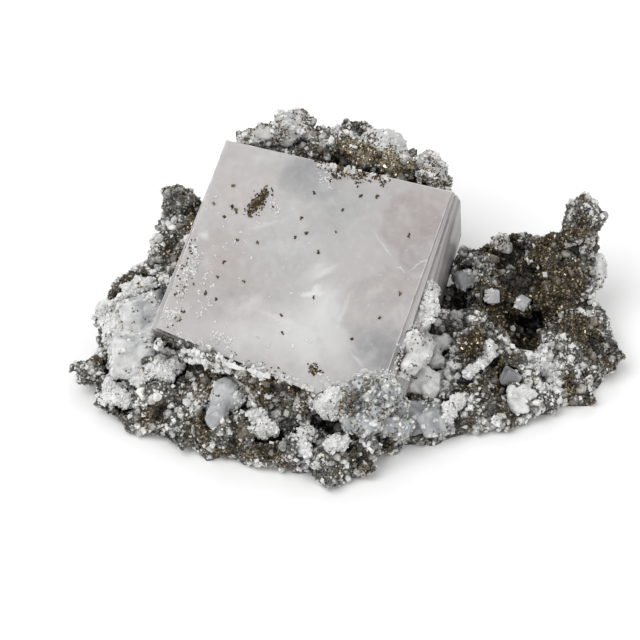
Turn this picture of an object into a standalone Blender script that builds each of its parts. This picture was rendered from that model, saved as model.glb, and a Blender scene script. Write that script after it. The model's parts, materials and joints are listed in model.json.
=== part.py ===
"""Fluorite cube specimen: one large fluorite cube on a rugged, druse-covered sulphide matrix.

Sizes are millimetres until settle() turns each solid to metres. +Z is up and the flat underside of
the matrix is z = 0. The display side faces -Y.
"""

import collections
import math
import random

import bmesh
import bpy
import numpy
from mathutils import Euler, Matrix, Vector, noise
from mathutils.bvhtree import BVHTree

MM = 0.001

# The display side. A feature is placed by how it shows from one eye point in front of the specimen:
# "across" and "up" in the plane through the origin that faces the eye. Its height above the base is
# given too, or else it sits on the surface that the eye meets there.
EYE_ELEVATION = math.radians(45.0)
EYE_DISTANCE = 450.0
EYE_AIM = (-5.6, 7.0)
RIGHT = Vector((1.0, 0.0, 0.0))
RISE = Vector((0.0, math.sin(EYE_ELEVATION), math.cos(EYE_ELEVATION)))
TOWARD = Vector((0.0, -math.cos(EYE_ELEVATION), math.sin(EYE_ELEVATION)))
EYE = EYE_AIM[0] * RIGHT + EYE_AIM[1] * RISE + EYE_DISTANCE * TOWARD

# The middle of the finished specimen in the layout above. settle() moves it to x = y = 0.
BASE_CENTRE = (-0.3, 2.5)

# The large cube: the middle of its main face, how that face is turned, and the face's corners in
# its own plane (along its top edge, up the face). Its sides run down into the matrix.
FACE_CENTRE = (-9.0, -1.5, 25.0)
FACE_HEADING = math.radians(-7.7)
FACE_LEAN = math.radians(30.2)
FACE_ROLL = math.radians(-8.0)
FACE_CORNERS = {
    "top_left": (-21.2, 22.1),
    "top_right": (24.2, 22.0),
    "bottom_right": (20.0, -24.8),
    "bottom_left": (-24.3, -17.7),
}
CUBE_DEPTH = 27.0
CUBE_FLOOR = 2.0
# How far above the main face the druse is kept clear of it.
FACE_CLEARING = 6.0
# Growth steps along the right-hand edge: (depth, how far out at the top, how far out at the bottom).
RIGHT_STEPS = ((0.5, 0.3, 0.9), (0.9, 0.5, 1.9), (2.0, 0.9, 2.5), (2.6, 1.1, 3.6), (4.6, 1.6, 4.6))
# One lower growth layer along the left-hand edge: (depth, out at the top, out at the bottom).
LEFT_STEPS = ((0.4, 0.1, 0.1), (1.6, 0.2, 0.3), (1.9, 0.3, 1.4))

# Clearance between a crystal and what it grows from, so that their faces stay apart, and how much
# more a socket takes for a rounded growth, whose facets differ from its own.
GAP = 0.32
FACET_SLACK = 0.45
MATRIX_VOXEL = 1.0
MATRIX_TRIANGLES = 3820
CLUSTER_VOXEL = 0.5
CLUSTER_TRIANGLES = 84
SOCKET_TRIANGLES = 62
BUDS_PER_LUMP = 3
BUD_REACH = 0.8
BUD_SIZES = (0.4, 0.6)
CALCITE_SINK = 0.35
MELTED_SINK = 0.3

# The knobbly relief of the druse: for each size of knob, how far apart and how high they are, and the
# distance from a knob's middle, as a share of that, where the skin stays where it was. Then the slow
# swell that they ride on.
KNOB_SIZES = ((4.2, 2.3, 0.55), (2.4, 1.3, 0.5))
SWELL = (9.0, 0.8)
# How steep the wall of a pressed hollow is: the smaller, the steeper.
HOLLOW_WALL = 0.6

# The body of the matrix: rounded masses, each (x, y, z, half length x, half y, half z).
MASSES = (
    (-10.0, 4.0, 1.0, 31.0, 27.0, 9.0),
    (-14.0, -17.0, 2.0, 21.0, 12.0, 8.5),
    (-36.0, -8.0, 2.0, 11.0, 13.0, 9.5),
    (-36.0, 11.0, 3.0, 6.5, 12.0, 8.5),
    (-33.0, 22.0, 6.0, 4.5, 5.5, 9.5),
    (-12.0, 31.0, 10.0, 11.0, 9.0, 21.0),
    (2.0, 30.0, 10.0, 11.0, 9.5, 21.0),
    (11.0, 26.0, 9.0, 9.0, 9.0, 19.0),
    (-26.0, 24.0, 2.0, 9.0, 10.0, 8.0),
    (12.0, -14.0, 1.0, 15.0, 10.5, 6.5),
    (30.0, -4.0, 1.0, 16.5, 14.0, 7.0),
    (42.0, -2.0, 1.0, 10.0, 11.0, 6.0),
    (33.0, 12.0, 4.0, 12.5, 8.0, 10.0),
    (45.0, 12.0, 7.0, 5.0, 5.5, 9.5),
)
# Lumps scattered over each mass: how much skin there is for one lump, and their radii.
SKIN_PER_LUMP = 20.0
LUMP_RADII = (1.5, 3.3)
LUMP_SINK = 0.15

# Rims, ledges and ridges: rounded lumps strung along (across, up, height) points, and their radius.
RIMS = {
    "front": (
        (
            (-48.0, -9.0, 3.0),
            (-43.0, -14.0, 2.4),
            (-37.5, -15.6, 2.2),
            (-33.5, -17.8, 2.2),
            (-28.0, -16.8, 2.2),
            (-23.5, -17.0, 2.4),
            (-19.0, -19.6, 2.2),
            (-15.0, -21.4, 2.2),
            (-8.5, -22.4, 2.2),
            (-3.5, -24.6, 2.2),
            (0.5, -23.2, 2.2),
            (4.5, -19.8, 2.2),
            (10.0, -18.4, 2.2),
        ),
        2.0,
    ),
    "front_right": (
        (
            (12.5, -14.6, 2.6),
            (18.0, -14.0, 2.2),
            (24.0, -14.0, 2.2),
            (30.0, -14.0, 2.2),
            (34.0, -12.0, 2.4),
            (38.5, -10.6, 2.6),
            (43.0, -10.4, 2.8),
        ),
        1.8,
    ),
    "upper_ledge": (
        (
            (-38.5, 3.2, 16.4),
            (-33.0, 1.4, 15.9),
            (-27.0, -0.6, 15.2),
            (-20.5, -2.8, 14.2),
            (-14.0, -5.0, 13.2),
            (-8.0, -7.4, 12.2),
            (-2.0, -9.8, 11.0),
            (4.0, -11.8, 10.2),
            (9.0, -11.0, 10.0),
        ),
        2.7,
    ),
    "lower_ledge": (
        (
            (-26.0, -14.0, 7.0),
            (-19.0, -15.6, 6.8),
            (-12.0, -17.6, 6.4),
            (-6.0, -18.8, 6.2),
            (0.0, -18.8, 6.2),
            (6.0, -17.0, 5.6),
        ),
        2.8,
    ),
    "back_crest": (
        (
            (-19.5, 41.6, 34.0),
            (-14.0, 42.0, 34.4),
            (-9.0, 42.2, 34.4),
            (-4.0, 41.6, 34.0),
            (1.0, 41.0, 33.6),
            (6.0, 39.6, 33.0),
            (11.0, 38.0, 32.4),
            (15.0, 36.4, 31.4),
            (17.6, 34.4, 30.0),
        ),
        3.6,
    ),
    "back_shoulder": (
        (
            (-18.0, 40.0, 28.0),
            (-8.0, 40.6, 28.0),
            (2.0, 39.0, 27.6),
            (10.0, 36.0, 26.4),
            (16.0, 32.0, 24.0),
        ),
        4.6,
    ),
    "left_ridge": (
        (
            (-32.6, 31.8, 20.0),
            (-35.6, 30.2, 19.0),
            (-36.2, 26.0, 17.5),
            (-38.2, 21.6, 16.0),
            (-41.2, 17.6, 14.5),
            (-44.8, 13.8, 12.5),
            (-47.6, 10.6, 10.5),
        ),
        2.2,
    ),
    "ridge_foot": (
        (
            (-33.6, 27.0, 17.0),
            (-35.0, 20.0, 14.0),
            (-37.6, 14.0, 12.0),
            (-42.0, 9.0, 10.0),
        ),
        3.0,
    ),
    "ridge_link": (
        (
            (-29.4, 31.4, 20.0),
            (-30.6, 27.6, 19.0),
            (-32.2, 22.6, 17.6),
            (-33.8, 17.6, 16.4),
            (-36.0, 13.0, 15.4),
        ),
        2.5,
    ),
    "left_cradle": (
        (
            (-47.2, 8.0, 10.2),
            (-46.0, 11.2, 12.2),
            (-43.0, 13.8, 14.0),
            (-39.6, 14.8, 15.0),
            (-37.2, 12.4, 15.0),
        ),
        2.3,
    ),
    "left_edge": (
        (
            (-48.6, 8.4, 9.0),
            (-48.0, 4.6, 7.0),
            (-48.6, 0.8, 5.5),
            (-49.8, -2.6, 4.5),
            (-49.2, -6.4, 3.6),
            (-48.8, -9.0, 2.8),
        ),
        2.2,
    ),
    "left_prong": (((-49.6, -3.4, 4.5), (-53.0, -4.8, 3.8), (-55.0, -2.0, 4.2)), 2.3),
    "right_ridge": (
        (
            (22.4, 15.6, 8.0),
            (24.6, 19.0, 10.0),
            (27.4, 20.8, 11.6),
            (30.5, 21.8, 12.5),
            (35.0, 22.2, 14.0),
            (39.5, 21.8, 15.0),
            (43.5, 23.0, 17.0),
        ),
        2.7,
    ),
    "right_back": (
        (
            (28.0, 19.6, 8.0),
            (32.0, 20.8, 9.6),
            (36.4, 21.4, 10.8),
            (40.6, 21.2, 12.0),
        ),
        3.2,
    ),
    "right_edge": (
        (
            (48.6, 22.0, 15.0),
            (47.8, 14.0, 10.0),
            (48.8, 9.4, 7.5),
            (50.2, 5.6, 6.0),
            (52.8, 2.0, 5.0),
            (55.0, -1.2, 4.0),
        ),
        2.3,
    ),
    "right_prong": (((45.4, -6.4, 3.2), (48.2, -7.8, 3.0), (51.0, -9.6, 2.6)), 2.5),
}

# Lumps of the matrix that stand on their own: (across, up, height, radius).
KNOBS = (
    (-32.8, 32.2, 20.5, 2.4),
    (-35.6, 31.2, 19.0, 2.1),
    (47.2, 27.6, 23.0, 4.4),
    (44.6, 26.4, 22.0, 2.6),
    (50.4, 27.2, 21.0, 2.5),
    (47.6, 30.4, 24.0, 1.7),
    (46.6, 22.8, 17.0, 3.6),
    (1.6, 46.4, 35.5, 1.5),
    (-0.6, 45.6, 35.0, 1.3),
    (3.6, 45.6, 35.0, 1.2),
    (-5.0, 43.8, 34.5, 1.9),
    (-8.6, 43.4, 35.0, 1.8),
    (13.0, 39.8, 33.0, 1.8),
    (15.0, 40.0, 32.5, 1.5),
    (-1.4, 41.4, 35.0, 2.6),
    (2.6, 38.6, 35.5, 2.4),
    (8.2, 38.6, 34.5, 2.6),
    (12.6, 37.2, 33.5, 2.4),
    (-6.0, 41.0, 35.5, 2.2),
    (-3.0, 37.6, 36.6, 1.4),
    (0.6, 36.8, 36.4, 1.3),
    (4.6, 35.8, 36.2, 1.4),
    (24.4, 2.4, 10.5, 3.6),
    (26.0, 6.0, 11.0, 2.6),
    (27.6, 17.6, 12.0, 2.4),
    (43.0, 14.0, 12.0, 3.6),
    (40.0, 12.0, 11.0, 3.0),
    (46.0, 6.0, 8.5, 3.4),
    (52.6, -1.0, 4.5, 2.6),
    (-54.6, -1.8, 4.6, 2.8),
    (-52.6, -4.6, 4.2, 2.5),
    (-49.6, -9.2, 3.2, 2.2),
    (31.5, 19.6, 12.0, 3.2),
    (37.5, 19.8, 13.0, 3.2),
    (19.5, 6.0, 7.0, 3.6),
    (21.0, 1.0, 7.0, 3.6),
)

# Hollows pressed into the skin along the line of sight: (across, up, half across, half up, depth,
# turn in the display plane in degrees).
HOLLOWS = (
    (34.4, 14.4, 5.0, 2.6, 8.0, 6.0),
    (37.4, 6.8, 4.6, 2.5, 7.5, -20.0),
    (22.2, 10.8, 2.8, 4.6, 6.0, 10.0),
    (-21.0, -10.0, 3.8, 1.7, 4.5, -32.0),
    (-13.4, -11.6, 4.4, 2.0, 6.0, -22.0),
    (-4.6, -12.4, 4.0, 2.0, 6.0, -18.0),
    (4.4, -13.4, 5.4, 2.0, 6.0, -8.0),
    (10.6, -14.8, 2.8, 1.8, 4.0, 6.0),
    (-39.4, 15.4, 3.0, 1.6, 3.5, -14.0),
    (-12.8, 41.6, 3.6, 1.4, 3.5, -12.0),
    (44.6, 21.6, 3.4, 1.6, 3.0, -8.0),
    (-47.0, -3.4, 1.4, 3.0, 3.0, 34.0),
)

# White calcite and dolomite growths: groups of rounded lumps, each (across, up, radius) on the skin
# or (across, up, radius, height) where it stands clear of it.
CALCITES = {
    "calcite_back_left": (
        (-10.4, 46.6, 2.5, 36.5),
        (-12.2, 44.4, 2.7, 36.5),
        (-8.6, 45.0, 2.1, 36.0),
        (-16.4, 43.8, 2.6, 36.5),
        (-19.6, 43.2, 2.0, 36.5),
        (-21.2, 43.6, 1.3, 36.0),
        (-13.2, 47.6, 1.2, 36.5),
    ),
    "calcite_back_right": (
        (17.0, 37.2, 3.0, 33.0),
        (19.0, 34.8, 1.9, 32.0),
        (15.2, 38.6, 2.2, 33.0),
    ),
    "calcite_left_arc": (
        (-44.6, 11.0, 1.6, 13.0),
        (-43.4, 12.8, 1.8, 13.6),
        (-41.6, 14.0, 1.8, 14.0),
        (-39.6, 14.2, 1.5, 14.4),
    ),
    "calcite_left_edge": (
        (-47.8, 8.2, 2.7, 10.0),
        (-46.4, 5.6, 2.3, 9.6),
        (-47.4, 3.0, 1.9, 8.4),
        (-45.6, 10.2, 1.8, 11.0),
    ),
    "calcite_left_patch": (
        (-47.4, -6.4, 1.6),
        (-46.0, -8.4, 1.9),
        (-44.2, -9.2, 1.5),
        (-48.2, -8.4, 1.3),
    ),
    "calcite_left_band": (
        (-42.0, -5.2, 1.5),
        (-39.8, -3.8, 1.6),
        (-37.6, -2.0, 1.9),
        (-36.4, -4.4, 1.5),
        (-34.6, -2.2, 1.7),
        (-36.2, 0.6, 1.4),
        (-33.4, -0.2, 1.4),
    ),
    "calcite_corner": (
        (-4.6, -9.4, 1.6),
        (-2.2, -8.8, 1.9),
        (-3.4, -11.0, 1.6),
    ),
    "calcite_beside_cube": (
        (12.8, 2.8, 2.1),
        (13.8, 0.4, 2.4),
        (12.2, -1.8, 2.0),
        (14.8, 2.2, 2.0),
    ),
    "calcite_low_beside": (
        (10.4, -5.6, 1.8),
        (14.6, -5.2, 2.5),
        (16.0, -6.6, 2.0),
        (12.6, -6.8, 1.5),
    ),
    "calcite_cube_side": (
        (16.6, 13.0, 1.4),
        (16.2, 11.2, 1.7),
        (15.6, 9.4, 1.6),
        (15.2, 7.6, 1.5),
    ),
    "druse_corner": (
        (0.6, -9.0, 2.3),
        (3.6, -7.6, 2.7),
        (6.8, -8.2, 2.7),
        (9.0, -9.8, 2.2),
        (1.6, -12.2, 2.4),
        (4.8, -11.8, 2.9),
        (7.4, -13.2, 2.3),
        (9.4, -13.4, 2.2),
    ),
    "calcite_right_of_cube": (
        (17.6, 1.4, 2.2),
        (19.2, 3.0, 1.7),
        (17.0, -1.0, 1.9),
    ),
    "calcite_heart": (
        (33.0, -8.0, 1.8),
        (35.2, -7.8, 1.7),
        (34.2, -10.0, 1.9),
    ),
    "calcite_right_end": (
        (50.2, 18.6, 1.6, 12.5),
        (50.4, 16.4, 1.7, 12.0),
        (48.2, 17.0, 1.7, 12.0),
        (49.8, 14.2, 1.4, 11.0),
    ),
    "calcite_disc": ((30.8, 22.4, 2.1, 14.0),),
    "calcite_ledge_left": (
        (-17.8, -12.4, 1.7),
        (-17.0, -14.8, 1.8),
        (-15.2, -14.8, 1.3),
    ),
    "calcite_ledge_middle": (
        (-8.6, -16.2, 1.9),
        (-8.8, -18.8, 1.6),
    ),
    "calcite_ledge_right": (
        (-3.0, -17.8, 1.5),
        (-0.8, -17.6, 1.4),
    ),
    "calcite_ribbon": (
        (27.6, 6.2, 0.9),
        (29.0, 5.2, 0.9),
        (28.8, 3.6, 0.9),
        (27.8, 2.0, 1.0),
        (28.6, 0.4, 0.9),
        (28.2, -1.0, 1.0),
        (26.6, -1.9, 1.0),
        (25.2, -2.6, 1.0),
        (24.2, -3.8, 1.0),
    ),
    "calcite_low_right": (
        (20.2, -11.2, 1.7),
        (22.0, -9.4, 1.4),
        (18.8, -12.8, 1.3),
    ),
}

# Small fluorite crystals: groups of cubes, each (across, up, edge, how far it stands out of the skin
# as a share of its edge, turn about the across, up and toward axes of the display side in degrees),
# with a height at the end where it stands clear of the skin.
FLUORITES = {
    "fluorite_left": (
        (-40.4, 8.0, 8.4, 0.28, (8.0, -10.0, 17.0), 11.0),
        (-43.4, 0.0, 8.0, 0.28, (14.0, 12.0, -8.0)),
    ),
    "fluorite_grey": (
        (12.0, -12.4, 6.4, 0.28, (10.0, 14.0, 8.0)),
        (16.8, -12.8, 5.0, 0.24, (18.0, -14.0, 24.0)),
    ),
    "fluorite_hollow_left": ((28.8, 11.8, 2.6, 0.36, (10.0, 10.0, 3.0)),),
    "fluorite_hollow_right": ((34.9, 10.4, 2.4, 0.34, (22.0, -12.0, -30.0)),),
    "fluorite_by_cube": ((23.4, 15.2, 3.6, 0.3, (10.0, 12.0, 24.0)),),
    "fluorite_right": ((32.4, -4.6, 3.2, 0.2, (14.0, 16.0, -28.0)),),
}
FLUORITE_BEVEL = 0.06
# Small fluorites with rounded, melted forms, given as the white growths are, and the triangles in each.
MELTED_FLUORITES = {
    "fluorite_front": (
        (-24.4, -6.8, 2.5),
        (-25.6, -9.0, 2.4),
        (-22.8, -8.8, 2.2),
        (-26.2, -12.6, 2.5),
    ),
    "fluorite_back": (
        (7.6, 41.2, 4.3, 33.0),
        (5.0, 42.0, 3.3, 33.2),
        (9.6, 38.8, 3.4, 32.6),
    ),
}
MELTED_TRIANGLES = 150
MELTED_SOCKET_TRIANGLES = 90
# No small crystal reaches lower than this.
CRYSTAL_FLOOR = 1.5
# The growths that spread over the cube: they take their place in it, and all others keep off it.
SPREAD_OVER_CUBE = (
    "calcite_low_beside",
    "calcite_beside_cube",
    "calcite_cube_side",
    "calcite_corner",
    "druse_corner",
)

# A crystal or a group of them, with the somewhat larger solids that cut its place in what holds it.
Growth = collections.namedtuple("Growth", "solid sockets")


def seen(across, up, height):
    """The point at this height that shows at (across, up) from the display side, in millimetres."""
    ray = across * RIGHT + up * RISE - EYE
    return EYE + ray * ((height - EYE.z) / ray.z)


def clear_scene():
    for obj in list(bpy.data.objects):
        bpy.data.objects.remove(obj)


def new_object(name, bm):
    """An object in the scene from a bmesh, which it frees."""
    mesh = bpy.data.meshes.new(name)
    bmesh.ops.recalc_face_normals(bm, faces=bm.faces)
    bm.to_mesh(mesh)
    bm.free()
    obj = bpy.data.objects.new(name, mesh)
    bpy.context.scene.collection.objects.link(obj)
    return obj


def bake_modifiers(obj):
    """Replaces an object's mesh by its evaluated one and removes its modifiers."""
    graph = bpy.context.evaluated_depsgraph_get()
    graph.update()
    mesh = bpy.data.meshes.new_from_object(obj.evaluated_get(graph))
    obj.modifiers.clear()
    obj.data = mesh
    return obj


def add_ellipsoid(bm, centre, radii, turn=None, detail=2):
    placing = Matrix.Translation(centre) @ (turn or Matrix()) @ Matrix.Diagonal((*radii, 1.0))
    bmesh.ops.create_icosphere(bm, subdivisions=detail, radius=1.0, matrix=placing)


def boolean(obj, other, operation, keep_other=False):
    """Joins or cuts an object with another, which it then removes unless it is kept."""
    modifier = obj.modifiers.new(operation.title(), "BOOLEAN")
    modifier.operation = operation
    modifier.solver = "EXACT"
    modifier.object = other
    bake_modifiers(obj)
    if not keep_other:
        bpy.data.objects.remove(other)
    return obj


def cut_below(obj, height):
    """Cuts an object off flat at a height."""
    bm = bmesh.new()
    placing = Matrix.Translation((0.0, 0.0, height - 50.0)) @ Matrix.Diagonal((300.0, 300.0, 100.0, 1.0))
    bmesh.ops.create_cube(bm, size=1.0, matrix=placing)
    return boolean(obj, new_object("below", bm), "DIFFERENCE")


def fused(obj, voxel):
    """Fuses a pile of overlapping shapes into one skin."""
    modifier = obj.modifiers.new("Fuse", "REMESH")
    modifier.mode = "VOXEL"
    modifier.voxel_size = voxel
    return bake_modifiers(obj)


def reduced(obj, triangles):
    """Brings a mesh down to this many triangles."""
    modifier = obj.modifiers.new("Reduce", "DECIMATE")
    modifier.use_collapse_triangulate = True
    obj.data.calc_loop_triangles()
    modifier.ratio = min(1.0, triangles / len(obj.data.loop_triangles))
    return bake_modifiers(obj)


def largest_body(obj):
    """Keeps only the largest connected body of a mesh."""
    bm = bmesh.new()
    bm.from_mesh(obj.data)
    left = set(bm.verts)
    bodies = []
    while left:
        body, front = set(), [left.pop()]
        while front:
            vertex = front.pop()
            body.add(vertex)
            fresh = {edge.other_vert(vertex) for edge in vertex.link_edges} & left
            left -= fresh
            front += fresh
        bodies.append(body)
    kept = max(bodies, key=len)
    bmesh.ops.delete(bm, geom=[vertex for vertex in bm.verts if vertex not in kept], context="VERTS")
    bm.to_mesh(obj.data)
    bm.free()
    return obj


def boxes_meet(one, other, margin=1.0):
    """Whether the boxes around two solids come within a margin of each other."""
    points = [numpy.array([vertex.co for vertex in obj.data.vertices]) for obj in (one, other)]
    low = numpy.maximum(points[0].min(axis=0), points[1].min(axis=0))
    high = numpy.minimum(points[0].max(axis=0), points[1].max(axis=0))
    return bool((low < high + margin).all())


def cut_sockets(obj, growths):
    """Cuts room in a solid for each growth that reaches into it."""
    for growth in growths:
        for socket in growth.sockets:
            if boxes_meet(obj, socket):
                boolean(obj, socket, "DIFFERENCE", keep_other=True)
    return largest_body(obj)


def dress(obj, name, colour, roughness, metallic=0.0):
    """Gives a solid its one material, shared by name."""
    made = bpy.data.materials.get(name) or bpy.data.materials.new(name)
    made.use_nodes = True
    shader = made.node_tree.nodes["Principled BSDF"]
    shader.inputs["Base Color"].default_value = (*colour, 1.0)
    shader.inputs["Roughness"].default_value = roughness
    shader.inputs["Metallic"].default_value = metallic
    obj.data.materials.clear()
    obj.data.materials.append(made)
    return obj


def add_rim(bm, points, radius, chance):
    """Lumps of varied size strung along a rim."""
    corners = [seen(*point) for point in points]
    for start, end in zip(corners, corners[1:]):
        count = max(1, round((end - start).length / radius))
        for step in range(count):
            jitter = Vector([chance.uniform(-0.25, 0.25) for _ in range(3)]) * radius
            radii = [radius * chance.uniform(0.65, 1.15) for _ in range(3)]
            add_ellipsoid(bm, start.lerp(end, (step + 0.5) / count) + jitter, radii)


def add_mass(bm, x, y, z, half_x, half_y, half_z, chance):
    """One rounded mass with smaller lumps scattered over its upper skin."""
    centre, halves = Vector((x, y, z)), Vector((half_x, half_y, half_z))
    add_ellipsoid(bm, centre, halves, detail=4)
    skin = 2.0 * math.pi * ((half_x * half_y + half_x * half_z + half_y * half_z) / 3.0)
    for _ in range(round(skin / SKIN_PER_LUMP)):
        heading, level = chance.uniform(0.0, math.tau), chance.uniform(-0.1, 1.0)
        flat = math.sqrt(1.0 - level * level)
        outward = Vector((math.cos(heading) * flat, math.sin(heading) * flat, level))
        size = chance.uniform(*LUMP_RADII)
        radii = [size * chance.uniform(0.75, 1.2) for _ in range(3)]
        add_ellipsoid(bm, centre + outward * halves - outward * size * LUMP_SINK, radii)


def press_hollows(obj):
    """Presses each hollow into a skin along the line of sight."""
    sight = sight_of(obj)
    points = numpy.empty(len(obj.data.vertices) * 3)
    obj.data.vertices.foreach_get("co", points)
    points = points.reshape(-1, 3)
    for across, up, half_across, half_up, depth, turn in HOLLOWS:
        place = surface_point([sight], across, up)
        axes = display_turn(0.0, 0.0, turn).to_3x3()
        offset = points - numpy.array(place)
        level = (offset @ (axes @ RIGHT) / half_across) ** 2 + (offset @ (axes @ RISE) / half_up) ** 2
        near = numpy.abs(offset @ TOWARD) < depth
        push = numpy.where(near, numpy.clip(1.0 - level, 0.0, 1.0) ** HOLLOW_WALL, 0.0) * depth
        points -= push[:, None] * numpy.array(TOWARD)
    obj.data.vertices.foreach_set("co", points.ravel())
    obj.data.update()
    return obj


def roughen(obj, offset):
    """Gives a skin the knobbly relief of a druse: rounded cells with creases between them."""
    bm = bmesh.new()
    bm.from_mesh(obj.data)
    bm.normal_update()
    for vertex in bm.verts:
        place = vertex.co + offset
        lift = SWELL[1] * noise.noise(place / SWELL[0])
        for spacing, height, level in KNOB_SIZES:
            lift += height * (level - noise.voronoi(place / spacing)[0][0])
        vertex.co += vertex.normal * lift
    bm.to_mesh(obj.data)
    bm.free()
    return obj


def make_matrix_skin():
    """The matrix before anything is cut from it."""
    bm = bmesh.new()
    chance = random.Random(11)
    for mass in MASSES:
        add_mass(bm, *mass, chance)
    for points, radius in RIMS.values():
        add_rim(bm, points, radius, chance)
    for across, up, height, radius in KNOBS:
        add_ellipsoid(bm, seen(across, up, height), (radius, radius, radius))
    matrix = fused(new_object("matrix", bm), MATRIX_VOXEL)
    fused(press_hollows(matrix), MATRIX_VOXEL)
    fused(roughen(matrix, Vector((3.0, 7.0, 1.0))), MATRIX_VOXEL)
    reduced(matrix, MATRIX_TRIANGLES)
    return largest_body(cut_below(matrix, 0.0))


def display_turn(about_across, about_up, about_toward):
    """A turn given in degrees about the display side's own axes."""
    axes = Matrix((RIGHT, RISE, TOWARD)).transposed().to_4x4()
    angles = [math.radians(angle) for angle in (about_across, about_up, about_toward)]
    return axes @ Euler(angles, "XYZ").to_matrix().to_4x4()


def sight_of(obj):
    """What the eye's rays are cast at: a tree of a solid's faces."""
    bm = bmesh.new()
    bm.from_mesh(obj.data)
    tree = BVHTree.FromBMesh(bm)
    bm.free()
    return tree


def surface_point(sights, across, up):
    """The first point of these surfaces that the eye meets at (across, up)."""
    ray = (across * RIGHT + up * RISE - EYE).normalized()
    hits = [sight.ray_cast(EYE, ray) for sight in sights]
    near = [(distance, place) for place, _, _, distance in hits if place is not None]
    if not near:
        raise ValueError(f"nothing shows at ({across}, {up}) to grow on")
    return min(near, key=lambda hit: hit[0])[1]


def placed(sights, across, up, sink, height=None):
    """Where a growth has its middle: at a height, or sunk in the surface along the line of sight."""
    if height is not None:
        return seen(across, up, height)
    place = surface_point(sights, across, up)
    return place + (place - EYE).normalized() * sink


def fused_lumps(name, balls, more, triangles):
    """One solid from a group of (centre, radius) balls, each larger by more. A ball that doesn't reach
    the others is left out."""
    bm = bmesh.new()
    for centre, radius in balls:
        add_ellipsoid(bm, centre, [radius + more] * 3)
    return reduced(largest_body(fused(new_object(name, bm), CLUSTER_VOXEL)), triangles)


def with_buds(balls, chance):
    """Balls of (centre, radius) with smaller ones budding from each."""
    grown = []
    for centre, radius in balls:
        grown.append((centre, radius * chance.uniform(0.85, 1.05)))
        for _ in range(BUDS_PER_LUMP):
            outward = Vector([chance.gauss(0.0, 1.0) for _ in range(3)]).normalized()
            grown.append((centre + outward * radius * BUD_REACH, radius * chance.uniform(*BUD_SIZES)))
    return grown


def make_calcite(name, lumps, sights):
    """A growth of white lumps, lightly faceted."""
    balls = []
    for across, up, radius, *height in lumps:
        balls.append((placed(sights, across, up, CALCITE_SINK * radius, *height), radius))
    balls = with_buds(balls, random.Random(name))
    share = max(1.0, len(lumps) / 3.5)
    solid = fused_lumps(name, balls, 0.0, round(CLUSTER_TRIANGLES * share))
    dress(solid, "calcite_white", (0.78, 0.78, 0.77), 0.4)
    socket = fused_lumps(name + "_socket", balls, GAP + FACET_SLACK, round(SOCKET_TRIANGLES * share))
    return Growth(solid, [socket])


def make_melted(name, lumps, sights):
    """A small fluorite of rounded form."""
    balls = []
    for across, up, radius, *height in lumps:
        balls.append((placed(sights, across, up, MELTED_SINK * radius, *height), radius))
    solid = fused_lumps(name, balls, 0.0, MELTED_TRIANGLES)
    socket = fused_lumps(name + "_socket", balls, GAP + FACET_SLACK, MELTED_SOCKET_TRIANGLES)
    return Growth(dress(solid, "fluorite_grey", (0.45, 0.47, 0.50), 0.2), [socket])


def cube_solid(name, placing, edge):
    """A cube with its edges broken."""
    bm = bmesh.new()
    bmesh.ops.create_cube(bm, size=edge, matrix=placing)
    bmesh.ops.bevel(bm, geom=bm.edges[:], offset=edge * FLUORITE_BEVEL, segments=1, affect="EDGES")
    return new_object(name, bm)


def make_fluorite(name, cubes, sights):
    """A group of small flat-faced cubes, grown into each other."""
    group, sockets = None, []
    for across, up, edge, out, turns, *height in cubes:
        centre = placed(sights, across, up, (0.5 - out) * edge, *height)
        placing = Matrix.Translation(centre) @ display_turn(*turns)
        cube = cut_below(cube_solid(name, placing, edge), CRYSTAL_FLOOR)
        socket = cube_solid(name + "_socket", placing, edge + 2.0 * GAP)
        sockets.append(cut_below(socket, CRYSTAL_FLOOR - GAP))
        group = boolean(group, cube, "UNION") if group else cube
    return Growth(dress(group, "fluorite_grey", (0.45, 0.47, 0.50), 0.2), sockets)


def face_placing():
    turn = Matrix.Rotation(FACE_HEADING, 4, "Z") @ Matrix.Rotation(FACE_LEAN, 4, "X")
    return Matrix.Translation(FACE_CENTRE) @ turn @ Matrix.Rotation(FACE_ROLL, 4, "Z")


def step_at(steps, depth):
    """How far out the cube's side stands at a depth: (at the top, at the bottom)."""
    passed = [step[1:] for step in steps if step[0] <= depth]
    return passed[-1] if passed else (0.0, 0.0)


def face_ring(depth, more):
    """The four corners of the cube's cross-section at a depth under the main face."""
    right_top, right_bottom = step_at(RIGHT_STEPS, depth)
    left_top, left_bottom = step_at(LEFT_STEPS, depth)
    outs = (-left_top - more, right_top + more, right_bottom + more, -left_bottom - more)
    rises = (more, more, -more, -more)
    places = zip(FACE_CORNERS.values(), outs, rises)
    return [Vector((x + out, y + rise, -depth)) for (x, y), out, rise in places]


def cube_block(name, more, above=0.0):
    """The main face, the growth steps along two of its edges and the sunk sides, larger by more. Its
    face is higher than the cube's by above."""
    depths = sorted({0.0, CUBE_DEPTH} | {step[0] for step in RIGHT_STEPS + LEFT_STEPS})
    bm = bmesh.new()
    loops = [[bm.verts.new(point) for point in face_ring(depth, more)] for depth in depths]
    for vertex in loops[0]:
        vertex.co.z += above
    for vertex in loops[-1]:
        vertex.co.z -= more
    bm.faces.new(loops[0])
    for upper, lower in zip(loops, loops[1:]):
        for index in range(4):
            following = (index + 1) % 4
            bm.faces.new((upper[index], lower[index], lower[following], upper[following]))
    bm.faces.new(reversed(loops[-1]))
    bm.transform(face_placing())
    return cut_below(new_object(name, bm), CUBE_FLOOR - more)


def make_cube():
    """The large cube."""
    solid = dress(cube_block("fluorite_cube", 0.0), "fluorite_lilac", (0.60, 0.56, 0.58), 0.15)
    return Growth(solid, [cube_block("fluorite_cube_socket", GAP, FACE_CLEARING)])


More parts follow.
